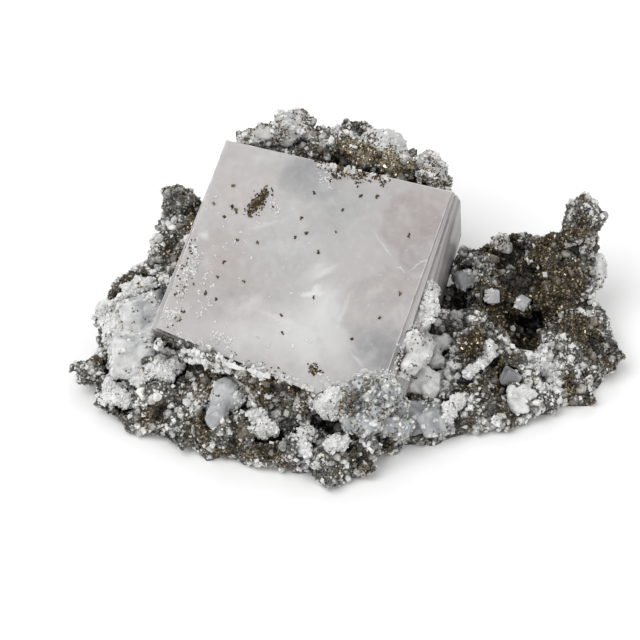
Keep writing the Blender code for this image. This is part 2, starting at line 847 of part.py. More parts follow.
def make_growths(sights, growths, over_cube):
    """Adds to the growths those that spread over the cube, or the others. Each keeps clear of the ones
    before it."""
    growths = list(growths)
    makers = [(make_fluorite, FLUORITES), (make_melted, MELTED_FLUORITES), (make_calcite, CALCITES)]
    for make, table in makers:
        for name, pieces in table.items():
            if (name in SPREAD_OVER_CUBE) is over_cube:
                growth = make(name, pieces, sights)
                cut_sockets(growth.solid, growths)
                growths.append(growth)
    return growths


def settle(obj):
    """Moves a solid from the layout to its place about the origin and turns it to metres."""
    shift = Matrix.Translation((-BASE_CENTRE[0], -BASE_CENTRE[1], 0.0))
    obj.data.transform(Matrix.Diagonal((MM, MM, MM, 1.0)) @ shift)
    obj.data.update()


def main():
    clear_scene()
    cube = make_cube()
    matrix = make_matrix_skin()
    sights = [sight_of(cube.solid), sight_of(matrix)]
    growths = make_growths(sights, [], over_cube=True)
    cut_sockets(cube.solid, growths)
    growths = make_growths(sights, [*growths, cube], over_cube=False)
    cut_sockets(matrix, growths)
    dress(matrix, "matrix_druse", (0.20, 0.185, 0.165), 0.6)
    settle(matrix)
    for growth in growths:
        settle(growth.solid)
        for socket in growth.sockets:
            bpy.data.objects.remove(socket)


main()
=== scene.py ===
"""Looks of the fluorite cube specimen.

A milky lilac fluorite cube stands in a druse of grey calcite beads, brassy
pyrite and white dolomite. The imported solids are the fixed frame. Every piece
made here grows on them or stands for them, in metres, with +Z up and the
display side of the specimen facing -Y.
"""

from __future__ import annotations

import json
import logging
import math
import random
from collections.abc import Callable, Iterable, Sequence
from dataclasses import dataclass, field
from enum import Enum, IntEnum
from functools import partial

import bmesh
import bpy
import numpy as np
from bpy.types import Collection, Material, Mesh, Node, NodeSocket, NodeTree, Object
from mathutils import Matrix, Vector, noise
from mathutils.bvhtree import BVHTree

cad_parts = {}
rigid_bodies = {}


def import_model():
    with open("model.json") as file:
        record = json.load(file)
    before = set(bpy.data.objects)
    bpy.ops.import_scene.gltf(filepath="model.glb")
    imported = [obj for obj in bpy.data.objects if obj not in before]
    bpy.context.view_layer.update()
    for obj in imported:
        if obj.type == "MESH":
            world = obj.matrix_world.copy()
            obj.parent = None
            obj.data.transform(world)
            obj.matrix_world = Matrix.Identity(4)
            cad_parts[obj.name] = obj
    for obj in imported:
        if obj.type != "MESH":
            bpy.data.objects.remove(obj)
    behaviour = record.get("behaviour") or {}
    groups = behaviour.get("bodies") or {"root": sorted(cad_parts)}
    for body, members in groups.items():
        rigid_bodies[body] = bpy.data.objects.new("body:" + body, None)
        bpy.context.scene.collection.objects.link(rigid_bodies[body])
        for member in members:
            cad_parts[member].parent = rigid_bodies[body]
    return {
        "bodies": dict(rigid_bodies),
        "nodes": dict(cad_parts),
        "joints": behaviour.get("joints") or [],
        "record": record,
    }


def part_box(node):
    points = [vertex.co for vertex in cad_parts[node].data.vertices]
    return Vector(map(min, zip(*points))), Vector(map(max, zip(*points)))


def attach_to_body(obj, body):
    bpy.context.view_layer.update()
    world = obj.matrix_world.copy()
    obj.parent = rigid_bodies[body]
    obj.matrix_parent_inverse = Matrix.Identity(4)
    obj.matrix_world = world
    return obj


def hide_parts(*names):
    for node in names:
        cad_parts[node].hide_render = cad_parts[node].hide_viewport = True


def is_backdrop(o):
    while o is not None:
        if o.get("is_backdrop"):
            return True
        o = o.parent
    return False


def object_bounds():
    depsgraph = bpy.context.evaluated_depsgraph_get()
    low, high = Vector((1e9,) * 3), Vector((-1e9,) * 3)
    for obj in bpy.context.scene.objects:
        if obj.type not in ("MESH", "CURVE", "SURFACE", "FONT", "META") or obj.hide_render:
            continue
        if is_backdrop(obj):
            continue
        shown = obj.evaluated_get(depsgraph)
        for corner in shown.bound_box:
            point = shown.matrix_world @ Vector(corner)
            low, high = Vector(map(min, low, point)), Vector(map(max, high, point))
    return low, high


LOG = logging.getLogger("fluorite_specimen")
MM = 0.001
BODY = "root"
MERGE_DISTANCE = 0.001 * MM
CUBE_NODE = "fluorite_cube"
MATRIX_NODE = "matrix"
CORNER_NODE = "druse_corner"

FLUORITE_IOR = 1.434
CALCITE_IOR = 1.6
NOISE_INCREMENT = 0.9
NOISE_LACUNARITY = 2.1
# How soon a round bump falls away from its middle.
BEAD_FALL = 1.6

Points = np.ndarray
# The frame and the box of its solids, which main() fills in.
FRAME: dict = {}
SOLID_BOX: list[list[float]] = []


class Slot(Enum):
    """The record's material slots."""

    MATRIX = "matrix"
    LILAC = "fluorite_lilac"
    GREY = "fluorite_grey"
    CALCITE = "calcite"


class Growth(Enum):
    """What marks a place on the matrix.

    Attributes:
        PYRITE: brassy pyrite grows there.
        PALE: white dolomite grows there.
        DARK: it is a hollow that little light reaches.
        OPEN: it catches the light, and so looks paler.
    """

    PYRITE = "pyrite"
    PALE = "pale"
    DARK = "dark"
    OPEN = "open"


# --- The eye -----------------------------------------------------------------


@dataclass(frozen=True)
class Viewpoint:
    """The eye on the display side of the specimen.

    A display place is (across, up) in millimetres, measured on the plane
    through the aim that faces the eye, from a zero point near the cube's foot.
    """

    elevation: float = math.radians(45)
    distance: float = 450 * MM
    aim: tuple[float, float, float] = (-5.3 * MM, 2.45 * MM, 4.95 * MM)
    aim_place: tuple[float, float] = (-5.6, 7.0)
    view_width: float = 128 * MM
    sensor: float = 36.0
    nearest: float = 10 * MM

    @property
    def toward(self) -> Vector:
        """The direction from the specimen to the eye."""
        return Vector((0, -math.cos(self.elevation), math.sin(self.elevation)))

    @property
    def rise(self) -> Vector:
        """The direction that looks like up from the eye."""
        return Vector((0, math.sin(self.elevation), math.cos(self.elevation)))

    @property
    def eye(self) -> Vector:
        """Where the eye is."""
        return Vector(self.aim) + self.toward * self.distance

    def sight(self, across: float, up: float) -> Vector:
        """The direction from the eye through a display place.

        Args:
            across: millimetres to the right.
            up: millimetres upwards.

        Returns:
            A unit vector.
        """
        place = (
            Vector(self.aim)
            + Vector((1, 0, 0)) * (across - self.aim_place[0]) * MM
            + self.rise * (up - self.aim_place[1]) * MM
        )
        return (place - self.eye).normalized()

    def touch(self, tree: BVHTree, across: float, up: float) -> tuple[Vector, Vector]:
        """The point of a surface that is seen at a display place.

        Args:
            tree: the surface.
            across: millimetres to the right.
            up: millimetres upwards.

        Returns:
            The point and the surface's normal. Where the line of sight misses,
            they are those of the nearest point to it.
        """
        direction = self.sight(across, up)
        point, normal, _, _ = tree.ray_cast(self.eye, direction)
        if point is None:
            point, normal, _, _ = tree.find_nearest(
                self.eye + direction * self.distance
            )
        return point, normal

    def add_camera(self) -> None:
        """Makes the camera, looking from the eye at the aim."""
        data = bpy.data.cameras.new("display_camera")
        data.sensor_width = self.sensor
        data.lens = self.sensor * self.distance / self.view_width
        data.clip_start = self.nearest
        camera = bpy.data.objects.new("display_camera", data)
        camera.location = self.eye
        camera.rotation_mode = "QUATERNION"
        camera.rotation_quaternion = (-self.toward).to_track_quat("-Z", "Y")
        bpy.context.scene.collection.objects.link(camera)
        bpy.context.scene.camera = camera


# --- Meshes ------------------------------------------------------------------


def add_object(name: str, mesh: Mesh) -> Object:
    """Puts a mesh in the scene as an object at the origin."""
    obj = bpy.data.objects.new(name, mesh)
    bpy.context.scene.collection.objects.link(obj)
    return obj


def merged_copy(node: str, name: str) -> Object:
    """Copies a solid of the frame, with its loose triangles joined.

    Args:
        node: the solid's name in the frame.
        name: the name of the new object.

    Returns:
        The new object, with no material.
    """
    mesh = FRAME["nodes"][node].data.copy()
    mesh.name = name
    mesh.materials.clear()
    for layer in list(mesh.uv_layers):
        mesh.uv_layers.remove(layer)
    form = bmesh.new()
    form.from_mesh(mesh)
    bmesh.ops.remove_doubles(form, verts=form.verts, dist=MERGE_DISTANCE)
    form.to_mesh(mesh)
    form.free()
    return add_object(name, mesh)


def joined_copy(pieces: Sequence[Object], name: str) -> Object:
    """Copies the meshes of several pieces into one object.

    Args:
        pieces: the pieces, in the order that their points will have.
        name: the name of the new object.

    Returns:
        The new object, with no material.
    """
    form = bmesh.new()
    for piece in pieces:
        form.from_mesh(piece.data)
    mesh = bpy.data.meshes.new(name)
    form.to_mesh(mesh)
    form.free()
    return add_object(name, mesh)


def bake(obj: Object) -> None:
    """Turns an object's modifiers into plain mesh."""
    bpy.context.view_layer.update()
    graph = bpy.context.evaluated_depsgraph_get()
    mesh = bpy.data.meshes.new_from_object(
        obj.evaluated_get(graph), preserve_all_data_layers=True, depsgraph=graph
    )
    obj.modifiers.clear()
    old, obj.data = obj.data, mesh
    bpy.data.meshes.remove(old)
    mesh.name = obj.name


def remeshed(obj: Object, voxel: float) -> None:
    """Gives an object an even skin of small faces."""
    modifier = obj.modifiers.new("skin", "REMESH")
    modifier.mode = "VOXEL"
    modifier.voxel_size = voxel
    bake(obj)


def reduced(obj: Object, most: int) -> None:
    """Merges faces where an object is flattest, down to that many triangles."""
    modifier = obj.modifiers.new("thin", "DECIMATE")
    modifier.ratio = min(1.0, most / triangles(obj))
    bake(obj)


def points_of(mesh: Mesh) -> Points:
    """The points of a mesh, one row each."""
    flat = np.empty(len(mesh.vertices) * 3)
    mesh.vertices.foreach_get("co", flat)
    return flat.reshape(-1, 3)


def put_points(mesh: Mesh, points: Points) -> None:
    """Moves the points of a mesh."""
    mesh.vertices.foreach_set("co", points.astype(np.float32).ravel())
    mesh.update()


def normals_of(mesh: Mesh) -> Points:
    """The normal at each point of a mesh."""
    flat = np.empty(len(mesh.vertices) * 3)
    mesh.vertex_normals.foreach_get("vector", flat)
    return flat.reshape(-1, 3)


def put_attribute(mesh: Mesh, name: str, values: Points) -> None:
    """Stores a number at each point of a mesh."""
    layer = mesh.attributes.get(name) or mesh.attributes.new(name, "FLOAT", "POINT")
    layer.data.foreach_set("value", values.astype(np.float32))


def relaxed(mesh: Mesh, points: Points, rounds: int) -> Points:
    """Smooths points along the edges of a mesh.

    Args:
        mesh: the mesh that gives the edges.
        points: rows to smooth.
        rounds: how many times each point moves to the mean of its neighbours.

    Returns:
        The smoothed rows.
    """
    ends = np.empty(len(mesh.edges) * 2, np.int64)
    mesh.edges.foreach_get("vertices", ends)
    near, far = ends.reshape(-1, 2).T
    both = np.concatenate([near, far])
    other = np.concatenate([far, near])
    count = len(points)
    share = np.maximum(np.bincount(both, minlength=count), 1)
    for _ in range(rounds):
        columns = [
            np.bincount(both, weights=points[other, axis], minlength=count) / share
            for axis in range(points.shape[1])
        ]
        points = np.stack(columns, axis=1)
    return points


def smoothstep(low: float, high: float, value: Points) -> Points:
    """A soft step from 0 at low to 1 at high."""
    share = np.clip((value - low) / (high - low), 0, 1)
    return share * share * (3 - 2 * share)


def each(points: Points, reader: Callable[[Vector], float]) -> Points:
    """Reads a number at each point."""
    return np.fromiter((reader(Vector(point)) for point in points), float, len(points))


def fractal(points: Points, wavelength: float, octaves: int, shift: float) -> Points:
    """Cloudy noise at each point.

    Args:
        points: rows in metres.
        wavelength: the size of the largest clouds, in metres.
        octaves: how many finer layers are added.
        shift: where in the noise the points lie.

    Returns:
        Values of about -1 to 1.
    """
    offset = Vector((shift, shift * 0.7, -shift * 1.3))
    return each(
        points / wavelength,
        lambda point: noise.fractal(
            point + offset, NOISE_INCREMENT, NOISE_LACUNARITY, octaves
        ),
    )


def beaded(points: Points, spacing: float, shift: float) -> Points:
    """Round bumps packed side by side.

    Args:
        points: rows in metres.
        spacing: about how far apart the bumps are, in metres.
        shift: where in the pattern the points lie.

    Returns:
        Heights from 0 between the bumps to 1 on top of one.
    """
    offset = Vector((shift, -shift, shift * 0.5))

    def height(point: Vector) -> float:
        """How high the bump is at a point."""
        nearest = noise.voronoi(point + offset)[0][0]
        return math.sqrt(max(0.0, 1 - nearest * nearest * BEAD_FALL))

    return each(points / spacing, height)


@dataclass(frozen=True)
class Relief:
    """One layer of relief on a surface.

    Attributes:
        height: how far its bumps stand out.
        size: how far apart they are.
        octaves: how many finer layers cloudy bumps have, or 0 for round bumps.
        level: the part of a bump's height that lies under the surface.
    """

    height: float
    size: float
    octaves: int = 0
    level: float = 0.0

    def lift(self, points: Points, shift: float) -> Points:
        """How far each point moves along its normal.

        Args:
            points: rows in metres.
            shift: where in the pattern the points lie.

        Returns:
            The distances in metres.
        """
        if self.octaves:
            bumps = fractal(points, self.size, self.octaves, shift)
        else:
            bumps = beaded(points, self.size, shift)
        return self.height * (bumps - self.level)


@dataclass(frozen=True)
class Clouds:
    """Cloudy noise that is cut to soft patches.

    Attributes:
        size: the size of the largest clouds.
        octaves: how many finer layers are added.
        shift: where in the noise the points lie.
        low, high: the noise where a patch begins and where it is full.
    """

    size: float
    octaves: int
    shift: float
    low: float
    high: float

    def share(self, points: Points) -> Points:
        """How much of a patch there is at each point, from 0 to 1."""
        values = fractal(points, self.size, self.octaves, self.shift)
        return smoothstep(self.low, self.high, values)


def tree_of(meshes: Iterable[Mesh]) -> BVHTree:
    """One search tree for the surfaces of several meshes."""
    corners: list[Vector] = []
    faces: list[tuple[int, ...]] = []
    for mesh in meshes:
        start = len(corners)
        corners.extend(vertex.co.copy() for vertex in mesh.vertices)
        faces.extend(
            tuple(start + index for index in face.vertices) for face in mesh.polygons
        )
    return BVHTree.FromPolygons(corners, faces)


def shade_smooth(mesh: Mesh, smooth: bool = True) -> None:
    """Sets smooth or flat shading on every face."""
    mesh.polygons.foreach_set("use_smooth", [smooth] * len(mesh.polygons))
    mesh.update()


def contain(obj: Object) -> None:
    """Keeps an object's points inside the box of the solids."""
    low, high = (np.array(corner) for corner in SOLID_BOX)
    put_points(obj.data, np.clip(points_of(obj.data), low, high))


def triangles(obj: Object) -> int:
    """How many triangles an object's mesh has."""
    return sum(len(face.vertices) - 2 for face in obj.data.polygons)


# --- Materials ---------------------------------------------------------------

Value = float | tuple | NodeSocket
Triple = tuple[float, float, float]
Colour = Triple
Stops = tuple[tuple[float, Colour], ...]

BLACK_TO_WHITE: Stops = ((0, (0, 0, 0)), (1, (1, 1, 1)))


def add_node(
    tree: NodeTree,
    kind: str,
    inputs: dict | None = None,
    **settings: object,
) -> Node:
    """Adds a node to a tree.

    Args:
        tree: the tree.
        kind: the node's type.
        inputs: a value or a socket for each input, by name or number.
        settings: the node's own properties.

    Returns:
        The node.
    """
    made = tree.nodes.new(kind)
    for name, setting in settings.items():
        setattr(made, name, setting)
    for key, value in (inputs or {}).items():
        if isinstance(value, NodeSocket):
            tree.links.new(value, made.inputs[key])
        else:
            made.inputs[key].default_value = value
    return made


class Bench:
    """Lays out the nodes of one material."""

    def __init__(self, name: str) -> None:
        """Starts an empty material of that name."""
        self.material = bpy.data.materials.new(name)
        self.material.use_nodes = True
        self.tree = self.material.node_tree
        self.tree.nodes.clear()
        self.node = partial(add_node, self.tree)
        self.coords = self.node("ShaderNodeTexCoord").outputs["Object"]

    def attribute(self, name: str) -> NodeSocket:
        """Reads a number stored on the mesh."""
        return self.node("ShaderNodeAttribute", attribute_name=name).outputs["Fac"]

    def placed(
        self,
        place: Sequence[float],
        turn: Sequence[float],
        size: Sequence[float],
        of: NodeSocket | None = None,
    ) -> NodeSocket:
        """Coordinates of a frame that lies somewhere on the piece.

        Args:
            place: the frame's origin.
            turn: the frame's rotation.
            size: the length of each of its units.
            of: the coordinates to start from, or those of the object.

        Returns:
            The coordinates in that frame.
        """
        return self.node(
            "ShaderNodeMapping",
            {
                "Vector": of or self.coords,
                "Location": tuple(place),
                "Rotation": tuple(turn),
                "Scale": tuple(size),
            },
            vector_type="TEXTURE",
        ).outputs["Vector"]

    def clouds(
        self,
        size: float,
        detail: float = 4,
        distortion: float = 0,
        of: NodeSocket | None = None,
    ) -> NodeSocket:
        """Cloudy noise whose largest clouds have that size in metres."""
        return self.node(
            "ShaderNodeTexNoise",
            {
                "Vector": of or self.coords,
                "Scale": 1 / size,
                "Detail": detail,
                "Distortion": distortion,
            },
        ).outputs["Fac"]

    def cells(
        self, size: float, feature: str = "F1", output: str = "Distance"
    ) -> NodeSocket:
        """Packed cells of that size in metres."""
        return self.node(
            "ShaderNodeTexVoronoi",
            {"Vector": self.coords, "Scale": 1 / size},
            feature=feature,
        ).outputs[output]

    def math(self, operation: str, *values: Value) -> NodeSocket:
        """Works out one number from others."""
        return self.node(
            "ShaderNodeMath", dict(enumerate(values)), operation=operation
        ).outputs[0]

    def spread(
        self,
        value: Value,
        low: float,
        high: float,
        to_low: float = 0,
        to_high: float = 1,
    ) -> NodeSocket:
        """Stretches a range of numbers over another with a soft start and end."""
        return self.node(
            "ShaderNodeMapRange",
            {0: value, 1: low, 2: high, 3: to_low, 4: to_high},
            interpolation_type="SMOOTHSTEP",
        ).outputs[0]

    def zone(
        self, growth: Growth, low: float, high: float, to_low: float, to_high: float
    ) -> NodeSocket:
        """How strongly a place is marked, stretched as spread() does."""
        marked = self.attribute(growth.value)
        return self.spread(marked, low, high, to_low, to_high)

    def ramp(self, value: Value, stops: Stops) -> NodeSocket:
        """Turns a number into a colour.

        Args:
            value: the number, from 0 to 1.
            stops: the places and their colours, in order.

        Returns:
            The colour.
        """
        made = self.node("ShaderNodeValToRGB", {"Fac": value})
        elements = made.color_ramp.elements
        while len(elements) < len(stops):
            elements.new(0.5)
        for element, (place, colour) in zip(elements, stops):
            element.position = place
            element.color = (*colour, 1)
        return made.outputs["Color"]

    def mix(
        self, share: Value, first: Value, second: Value, blend: str = "MIX"
    ) -> NodeSocket:
        """Mixes two colours."""
        made = self.node(
            "ShaderNodeMix", {0: share}, data_type="RGBA", blend_type=blend
        )
        for index, value in ((6, first), (7, second)):
            if isinstance(value, NodeSocket):
                self.tree.links.new(value, made.inputs[index])
            else:
                made.inputs[index].default_value = (*value, 1)
        return made.outputs[2]

    def shaded(self, colour: Value, light: Value) -> NodeSocket:
        """Darkens a colour, from black at 0 to no change at 1."""
        return self.mix(1.0, colour, self.ramp(light, BLACK_TO_WHITE), "MULTIPLY")

    def bump(
        self,
        height: Value,
        depth: float,
        strength: float = 1,
        normal: NodeSocket | None = None,
    ) -> NodeSocket:
        """Relief too fine for the mesh."""
        inputs = {"Height": height, "Distance": depth, "Strength": strength}
        if normal is not None:
            inputs["Normal"] = normal
        return self.node("ShaderNodeBump", inputs).outputs["Normal"]

    def done(self, **inputs: Value) -> Material:
        """Ends the material in a Principled shader.

        Args:
            inputs: the shader's inputs, with _ for each space.

        Returns:
            The material.
        """
        shader = self.node("ShaderNodeBsdfPrincipled")
        for name, value in inputs.items():
            socket = shader.inputs[name.replace("_", " ")]
            if isinstance(value, NodeSocket):
                self.tree.links.new(value, socket)
            elif isinstance(value, tuple) and len(socket.default_value) == 4:
                socket.default_value = (*value, 1)
            else:
                socket.default_value = value
        self.node("ShaderNodeOutputMaterial", {"Surface": shader.outputs[0]})
        return self.material


@dataclass(frozen=True)
class DruseBed:
    """The rock between the grains: grey, brassy brown or white by place."""

    grey: Stops = (
        (0.0, (0.018, 0.017, 0.014)),
        (0.35, (0.087, 0.085, 0.074)),
        (0.7, (0.255, 0.25, 0.228)),
        (1.0, (0.585, 0.58, 0.555)),
    )
    brown: Stops = (
        (0.0, (0.008, 0.006, 0.003)),
        (0.45, (0.045, 0.033, 0.017)),
        (0.8, (0.13, 0.098, 0.052)),
        (1.0, (0.30, 0.235, 0.13)),
    )
    white: Stops = (
        (0.0, (0.16, 0.16, 0.145)),
        (0.5, (0.52, 0.52, 0.50)),
        (1.0, (0.86, 0.86, 0.84)),
    )
    brass: Colour = (0.62, 0.50, 0.29)
    # Painted light: places that catch the light are mixed towards this tint.
    open_tint: Colour = (0.48, 0.43, 0.32)
    open_share: float = 0.6
    # Painted shade: how light the hollows and the creases between knobs are painted.
    dark_light: float = 0.16
    crease_light: float = 0.4
    cell: float = 0.9 * MM
    fine_cell: float = 0.34 * MM

    def material(self) -> Material:
        """Makes the material."""
        bench = Bench("druse_bed")
        speck = bench.cells(self.fine_cell, output="Color")
        tone = bench.math(
            "MULTIPLY_ADD",
            speck,
            0.5,
            bench.math("MULTIPLY", bench.clouds(0.8 * MM, 5), 0.5),
        )
        edges = bench.spread(bench.cells(self.cell, "DISTANCE_TO_EDGE"), 0.0, 0.22)
        tone = bench.math("MULTIPLY", tone, bench.spread(edges, 0, 1, 0.35, 1))
        pyrite = bench.math(
            "ADD",
            bench.attribute(Growth.PYRITE.value),
            bench.spread(bench.clouds(1.1 * MM, 3), 0.3, 0.7, -0.35, 0.35),
        )
        pyrite = bench.spread(pyrite, 0.35, 0.65)
        pale = bench.math(
            "ADD",
            bench.attribute(Growth.PALE.value),
            bench.spread(bench.clouds(1.3 * MM, 4), 0.3, 0.7, -0.4, 0.4),
        )
        pale = bench.spread(pale, 0.4, 0.62)
        colour = bench.mix(
            pyrite, bench.ramp(tone, self.grey), bench.ramp(tone, self.brown)
        )
        colour = bench.mix(pale, colour, bench.ramp(tone, self.white))
        # Painted light: places that catch the light are painted paler.
        lit = bench.zone(Growth.OPEN, 0.1, 0.9, 0, self.open_share)
        colour = bench.mix(lit, colour, self.open_tint)
        glint = bench.math("MULTIPLY", bench.spread(speck, 0.78, 0.84), pyrite)
        colour = bench.mix(glint, colour, self.brass)
        # Painted shade: hollows and the creases between knobs are painted darker.
        dark = bench.zone(Growth.DARK, 0.1, 0.9, 1, self.dark_light)
        knob = bench.spread(bench.attribute("knob"), 0.0, 0.6, self.crease_light, 1)
        colour = bench.shaded(colour, bench.math("MULTIPLY", dark, knob))
        relief = bench.bump(tone, 0.25 * MM, 0.8)
        return bench.done(
            Base_Color=colour,
            Metallic=bench.math("MULTIPLY", glint, 0.8),
            Roughness=0.42,
            Normal=relief,
        )


@dataclass(frozen=True)
class DruseFinish:
    """Grey calcite grains, each of its own tone, rusty near the pyrite.

    Attributes:
        name: the material's name.
        tones: the colours from the darkest grain to the palest.
        rust: the colour of grains near the pyrite.
        milk: the colour of grains near the dolomite.
        open_gain: how much paler a grain is in a place that catches the light.
        foot_light: how light a grain is painted at its foot, as painted shade, from 0 to
            1.
        dark_light: how light it is in a shadowed hollow.
        roughness: how matt the grains are.
    """

    name: str = "grey_druse"
    tones: Stops = (
        (0.0, (0.026, 0.025, 0.021)),
        (0.25, (0.112, 0.110, 0.097)),
        (0.5, (0.275, 0.272, 0.250)),
        (0.75, (0.51, 0.507, 0.475)),
        (1.0, (0.85, 0.845, 0.82)),
    )
    rust: Colour = (0.085, 0.060, 0.030)
    milk: Colour = (0.80, 0.80, 0.78)
    open_gain: float = 0.38
    foot_light: float = 0.14
    dark_light: float = 0.3
    roughness: float = 0.22

    def material(self) -> Material:
        """Makes the material."""
        bench = Bench(self.name)
        speckle = bench.spread(bench.clouds(0.4 * MM, 3), 0.3, 0.7, -0.16, 0.16)
        drift = bench.spread(bench.clouds(3.2 * MM, 4), 0.32, 0.68, -0.34, 0.34)
        tone = bench.math("ADD", bench.attribute("tone"), speckle)
        # Painted light: grains in places that catch the light are painted paler.
        lit = bench.zone(Growth.OPEN, 0.1, 0.9, 0, self.open_gain)
        tone = bench.math("ADD", tone, lit)
        colour = bench.ramp(bench.math("ADD", tone, drift), self.tones)
        pale = bench.zone(Growth.PALE, 0.35, 0.8, 0, 0.7)
        colour = bench.mix(pale, colour, self.milk)
        rust = bench.math(
            "ADD",
            bench.attribute(Growth.PYRITE.value),
            bench.spread(bench.clouds(1.6 * MM, 3), 0.3, 0.7, -0.3, 0.3),
        )
        colour = bench.mix(bench.spread(rust, 0.3, 0.75, 0, 0.85), colour, self.rust)
        # Painted shade: each grain is darker towards its foot and in shadowed hollows.
        foot = bench.spread(bench.attribute("height"), 0.2, 0.8, self.foot_light, 1)
        dark = bench.zone(Growth.DARK, 0.2, 1.0, 1, self.dark_light)
        colour = bench.shaded(colour, bench.math("MULTIPLY", foot, dark))
        relief = bench.bump(bench.cells(0.3 * MM), 0.08 * MM, 0.6)
        return bench.done(
            Base_Color=colour,
            Roughness=self.roughness,
            Normal=relief,
            IOR=CALCITE_IOR,
        )


@dataclass(frozen=True)
class PyriteFinish:
    """Brassy pyrite, each crystal of its own tone."""

    tones: Stops = (
        (0.0, (0.018, 0.013, 0.008)),
        (0.5, (0.055, 0.041, 0.024)),
        (0.78, (0.17, 0.130, 0.075)),
        (0.93, (0.44, 0.36, 0.23)),
        (1.0, (0.80, 0.71, 0.53)),
    )
    tarnish: Colour = (0.09, 0.062, 0.035)
    open_gain: float = 0.16
    dark_light: float = 0.3

    def material(self) -> Material:
        """Makes the material."""
        bench = Bench("pyrite_brass")
        # Painted light: crystals in places that catch the light are painted paler.
        lit = bench.zone(Growth.OPEN, 0.1, 0.9, 0, self.open_gain)
        tone = bench.math("ADD", bench.attribute("tone"), lit)
        colour = bench.ramp(tone, self.tones)
        tarnish = bench.spread(bench.clouds(0.7 * MM, 3), 0.45, 0.7, 0, 0.55)
        colour = bench.mix(tarnish, colour, self.tarnish)
        # Painted shade: crystals in shadowed hollows are painted darker.
        dark = bench.zone(Growth.DARK, 0.2, 1.0, 1, self.dark_light)
        colour = bench.shaded(colour, dark)
        return bench.done(Base_Color=colour, Metallic=0.85, Roughness=0.34)


@dataclass(frozen=True)
class DolomiteFinish:
    """White dolomite and calcite, sugary or smooth and a little translucent.

    Attributes:
        name: the material's name.
        tones: the colours from its greyest clouds to its whitest.
        cloud: the size of those clouds.
        speck: the colour of the dark specks in it.
        specks: how thickly those sit, from 0 to 1.
        grain: the size of its fine relief.
        relief: how strong that relief is.
        transmission: how clear it is.
        dark_light: how light it is in a shadowed hollow, from 0 to 1.
    """

    name: str = "white_dolomite"
    tones: Stops = (
        (0.15, (0.40, 0.40, 0.385)),
        (0.5, (0.72, 0.72, 0.705)),
        (0.8, (0.93, 0.93, 0.92)),
    )
    cloud: float = 2.2 * MM
    speck: Colour = (0.10, 0.080, 0.048)
    specks: float = 0.5
    grain: float = 0.5 * MM
    relief: float = 0.5
    transmission: float = 0.0
    dark_light: float = 0.35

    def material(self) -> Material:
        """Makes the material."""
        bench = Bench(self.name)
        colour = bench.ramp(bench.clouds(self.cloud, 6, 0.6), self.tones)
        specks = bench.spread(bench.cells(0.55 * MM), 0.1, 0.3, 0.8, 0)
        gate = bench.spread(bench.clouds(2.6 * MM, 3), 0.5, 0.6, 0, self.specks)
        specks = bench.math("MULTIPLY", specks, gate)
        colour = bench.mix(specks, colour, self.speck)
        # Painted shade: it is painted darker in shadowed hollows.
        dark = bench.zone(Growth.DARK, 0.2, 1.0, 1, self.dark_light)
        colour = bench.shaded(colour, dark)
        relief = bench.bump(bench.cells(self.grain), 0.1 * MM, self.relief)
        relief = bench.bump(bench.clouds(1.0 * MM, 5), 0.2 * MM, 0.4, relief)
        return bench.done(
            Base_Color=colour,
            Roughness=0.34,
            Normal=relief,
            Transmission_Weight=self.transmission,
            Subsurface_Weight=0.3,
            Subsurface_Radius=(1.0, 1.0, 1.0),
            Subsurface_Scale=0.8 * MM,
            IOR=CALCITE_IOR,
        )


@dataclass(frozen=True)
class SmallFluoriteFinish:
    """Clear to milky fluorite of the small crystals.

    Attributes:
        clear, milk: the colours of its clear and of its milky places.
        milkiness: how much of it is milky, from 0 to 1.
        fade: how far it is from their border to fully clear and to fully milky.
    """

    name: str
    clear: Colour
    milk: Colour
    milkiness: float = 0.5
    transmission: float = 0.4
    fade: tuple[float, float] = (0.08, 0.1)
    thread: Colour = (0.95, 0.95, 0.95)

    def material(self) -> Material:
        """Makes the material."""
        bench = Bench(self.name)
        veils = bench.clouds(3.5 * MM, 6, 0.5)
        border = 0.75 - 0.5 * self.milkiness
        stops = (
            (border - self.fade[0], self.clear),
            (border + self.fade[1], self.milk),
        )
        colour = bench.ramp(veils, stops)
        threads = bench.spread(bench.clouds(1.8 * MM, 5, 0.3), 0.58, 0.72, 0, 0.55)
        colour = bench.mix(threads, colour, self.thread)
        relief = bench.bump(bench.clouds(2.0 * MM, 5), 0.22 * MM, 0.4)
        return bench.done(
            Base_Color=colour,
            Roughness=0.16,
            Normal=relief,
            Transmission_Weight=self.transmission,
            Subsurface_Weight=0.25,
            Subsurface_Radius=(1.0, 1.0, 1.0),
            Subsurface_Scale=1.0 * MM,
            IOR=FLUORITE_IOR,
        )


class Tint(Enum):
    """The colours of the zones in the cube."""

    LILAC = (0.44, 0.39, 0.37)
    SMOKE = (0.23, 0.235, 0.25)
    MILK = (0.80, 0.80, 0.80)
    ROSE = (0.51, 0.445, 0.425)
    DUSK = (0.33, 0.285, 0.275)
    GREY = (0.42, 0.425, 0.425)
    VEIL = (0.88, 0.88, 0.88)


@dataclass(frozen=True)
class Zone:
    """A soft zone in the cube, at a display place in millimetres.

    Attributes:
        across, up: its middle.
        wide, tall: its half sizes.
        tint: its colour.
        strength: how much of that colour it has in the middle.
        turn: degrees that it is turned by.
        edge: 0 for a crisp border, 1 for one that fades from the middle.
    """

    across: float
    up: float
    wide: float
    tall: float
    tint: Tint
    strength: float
    turn: float = 0
    edge: float = 1


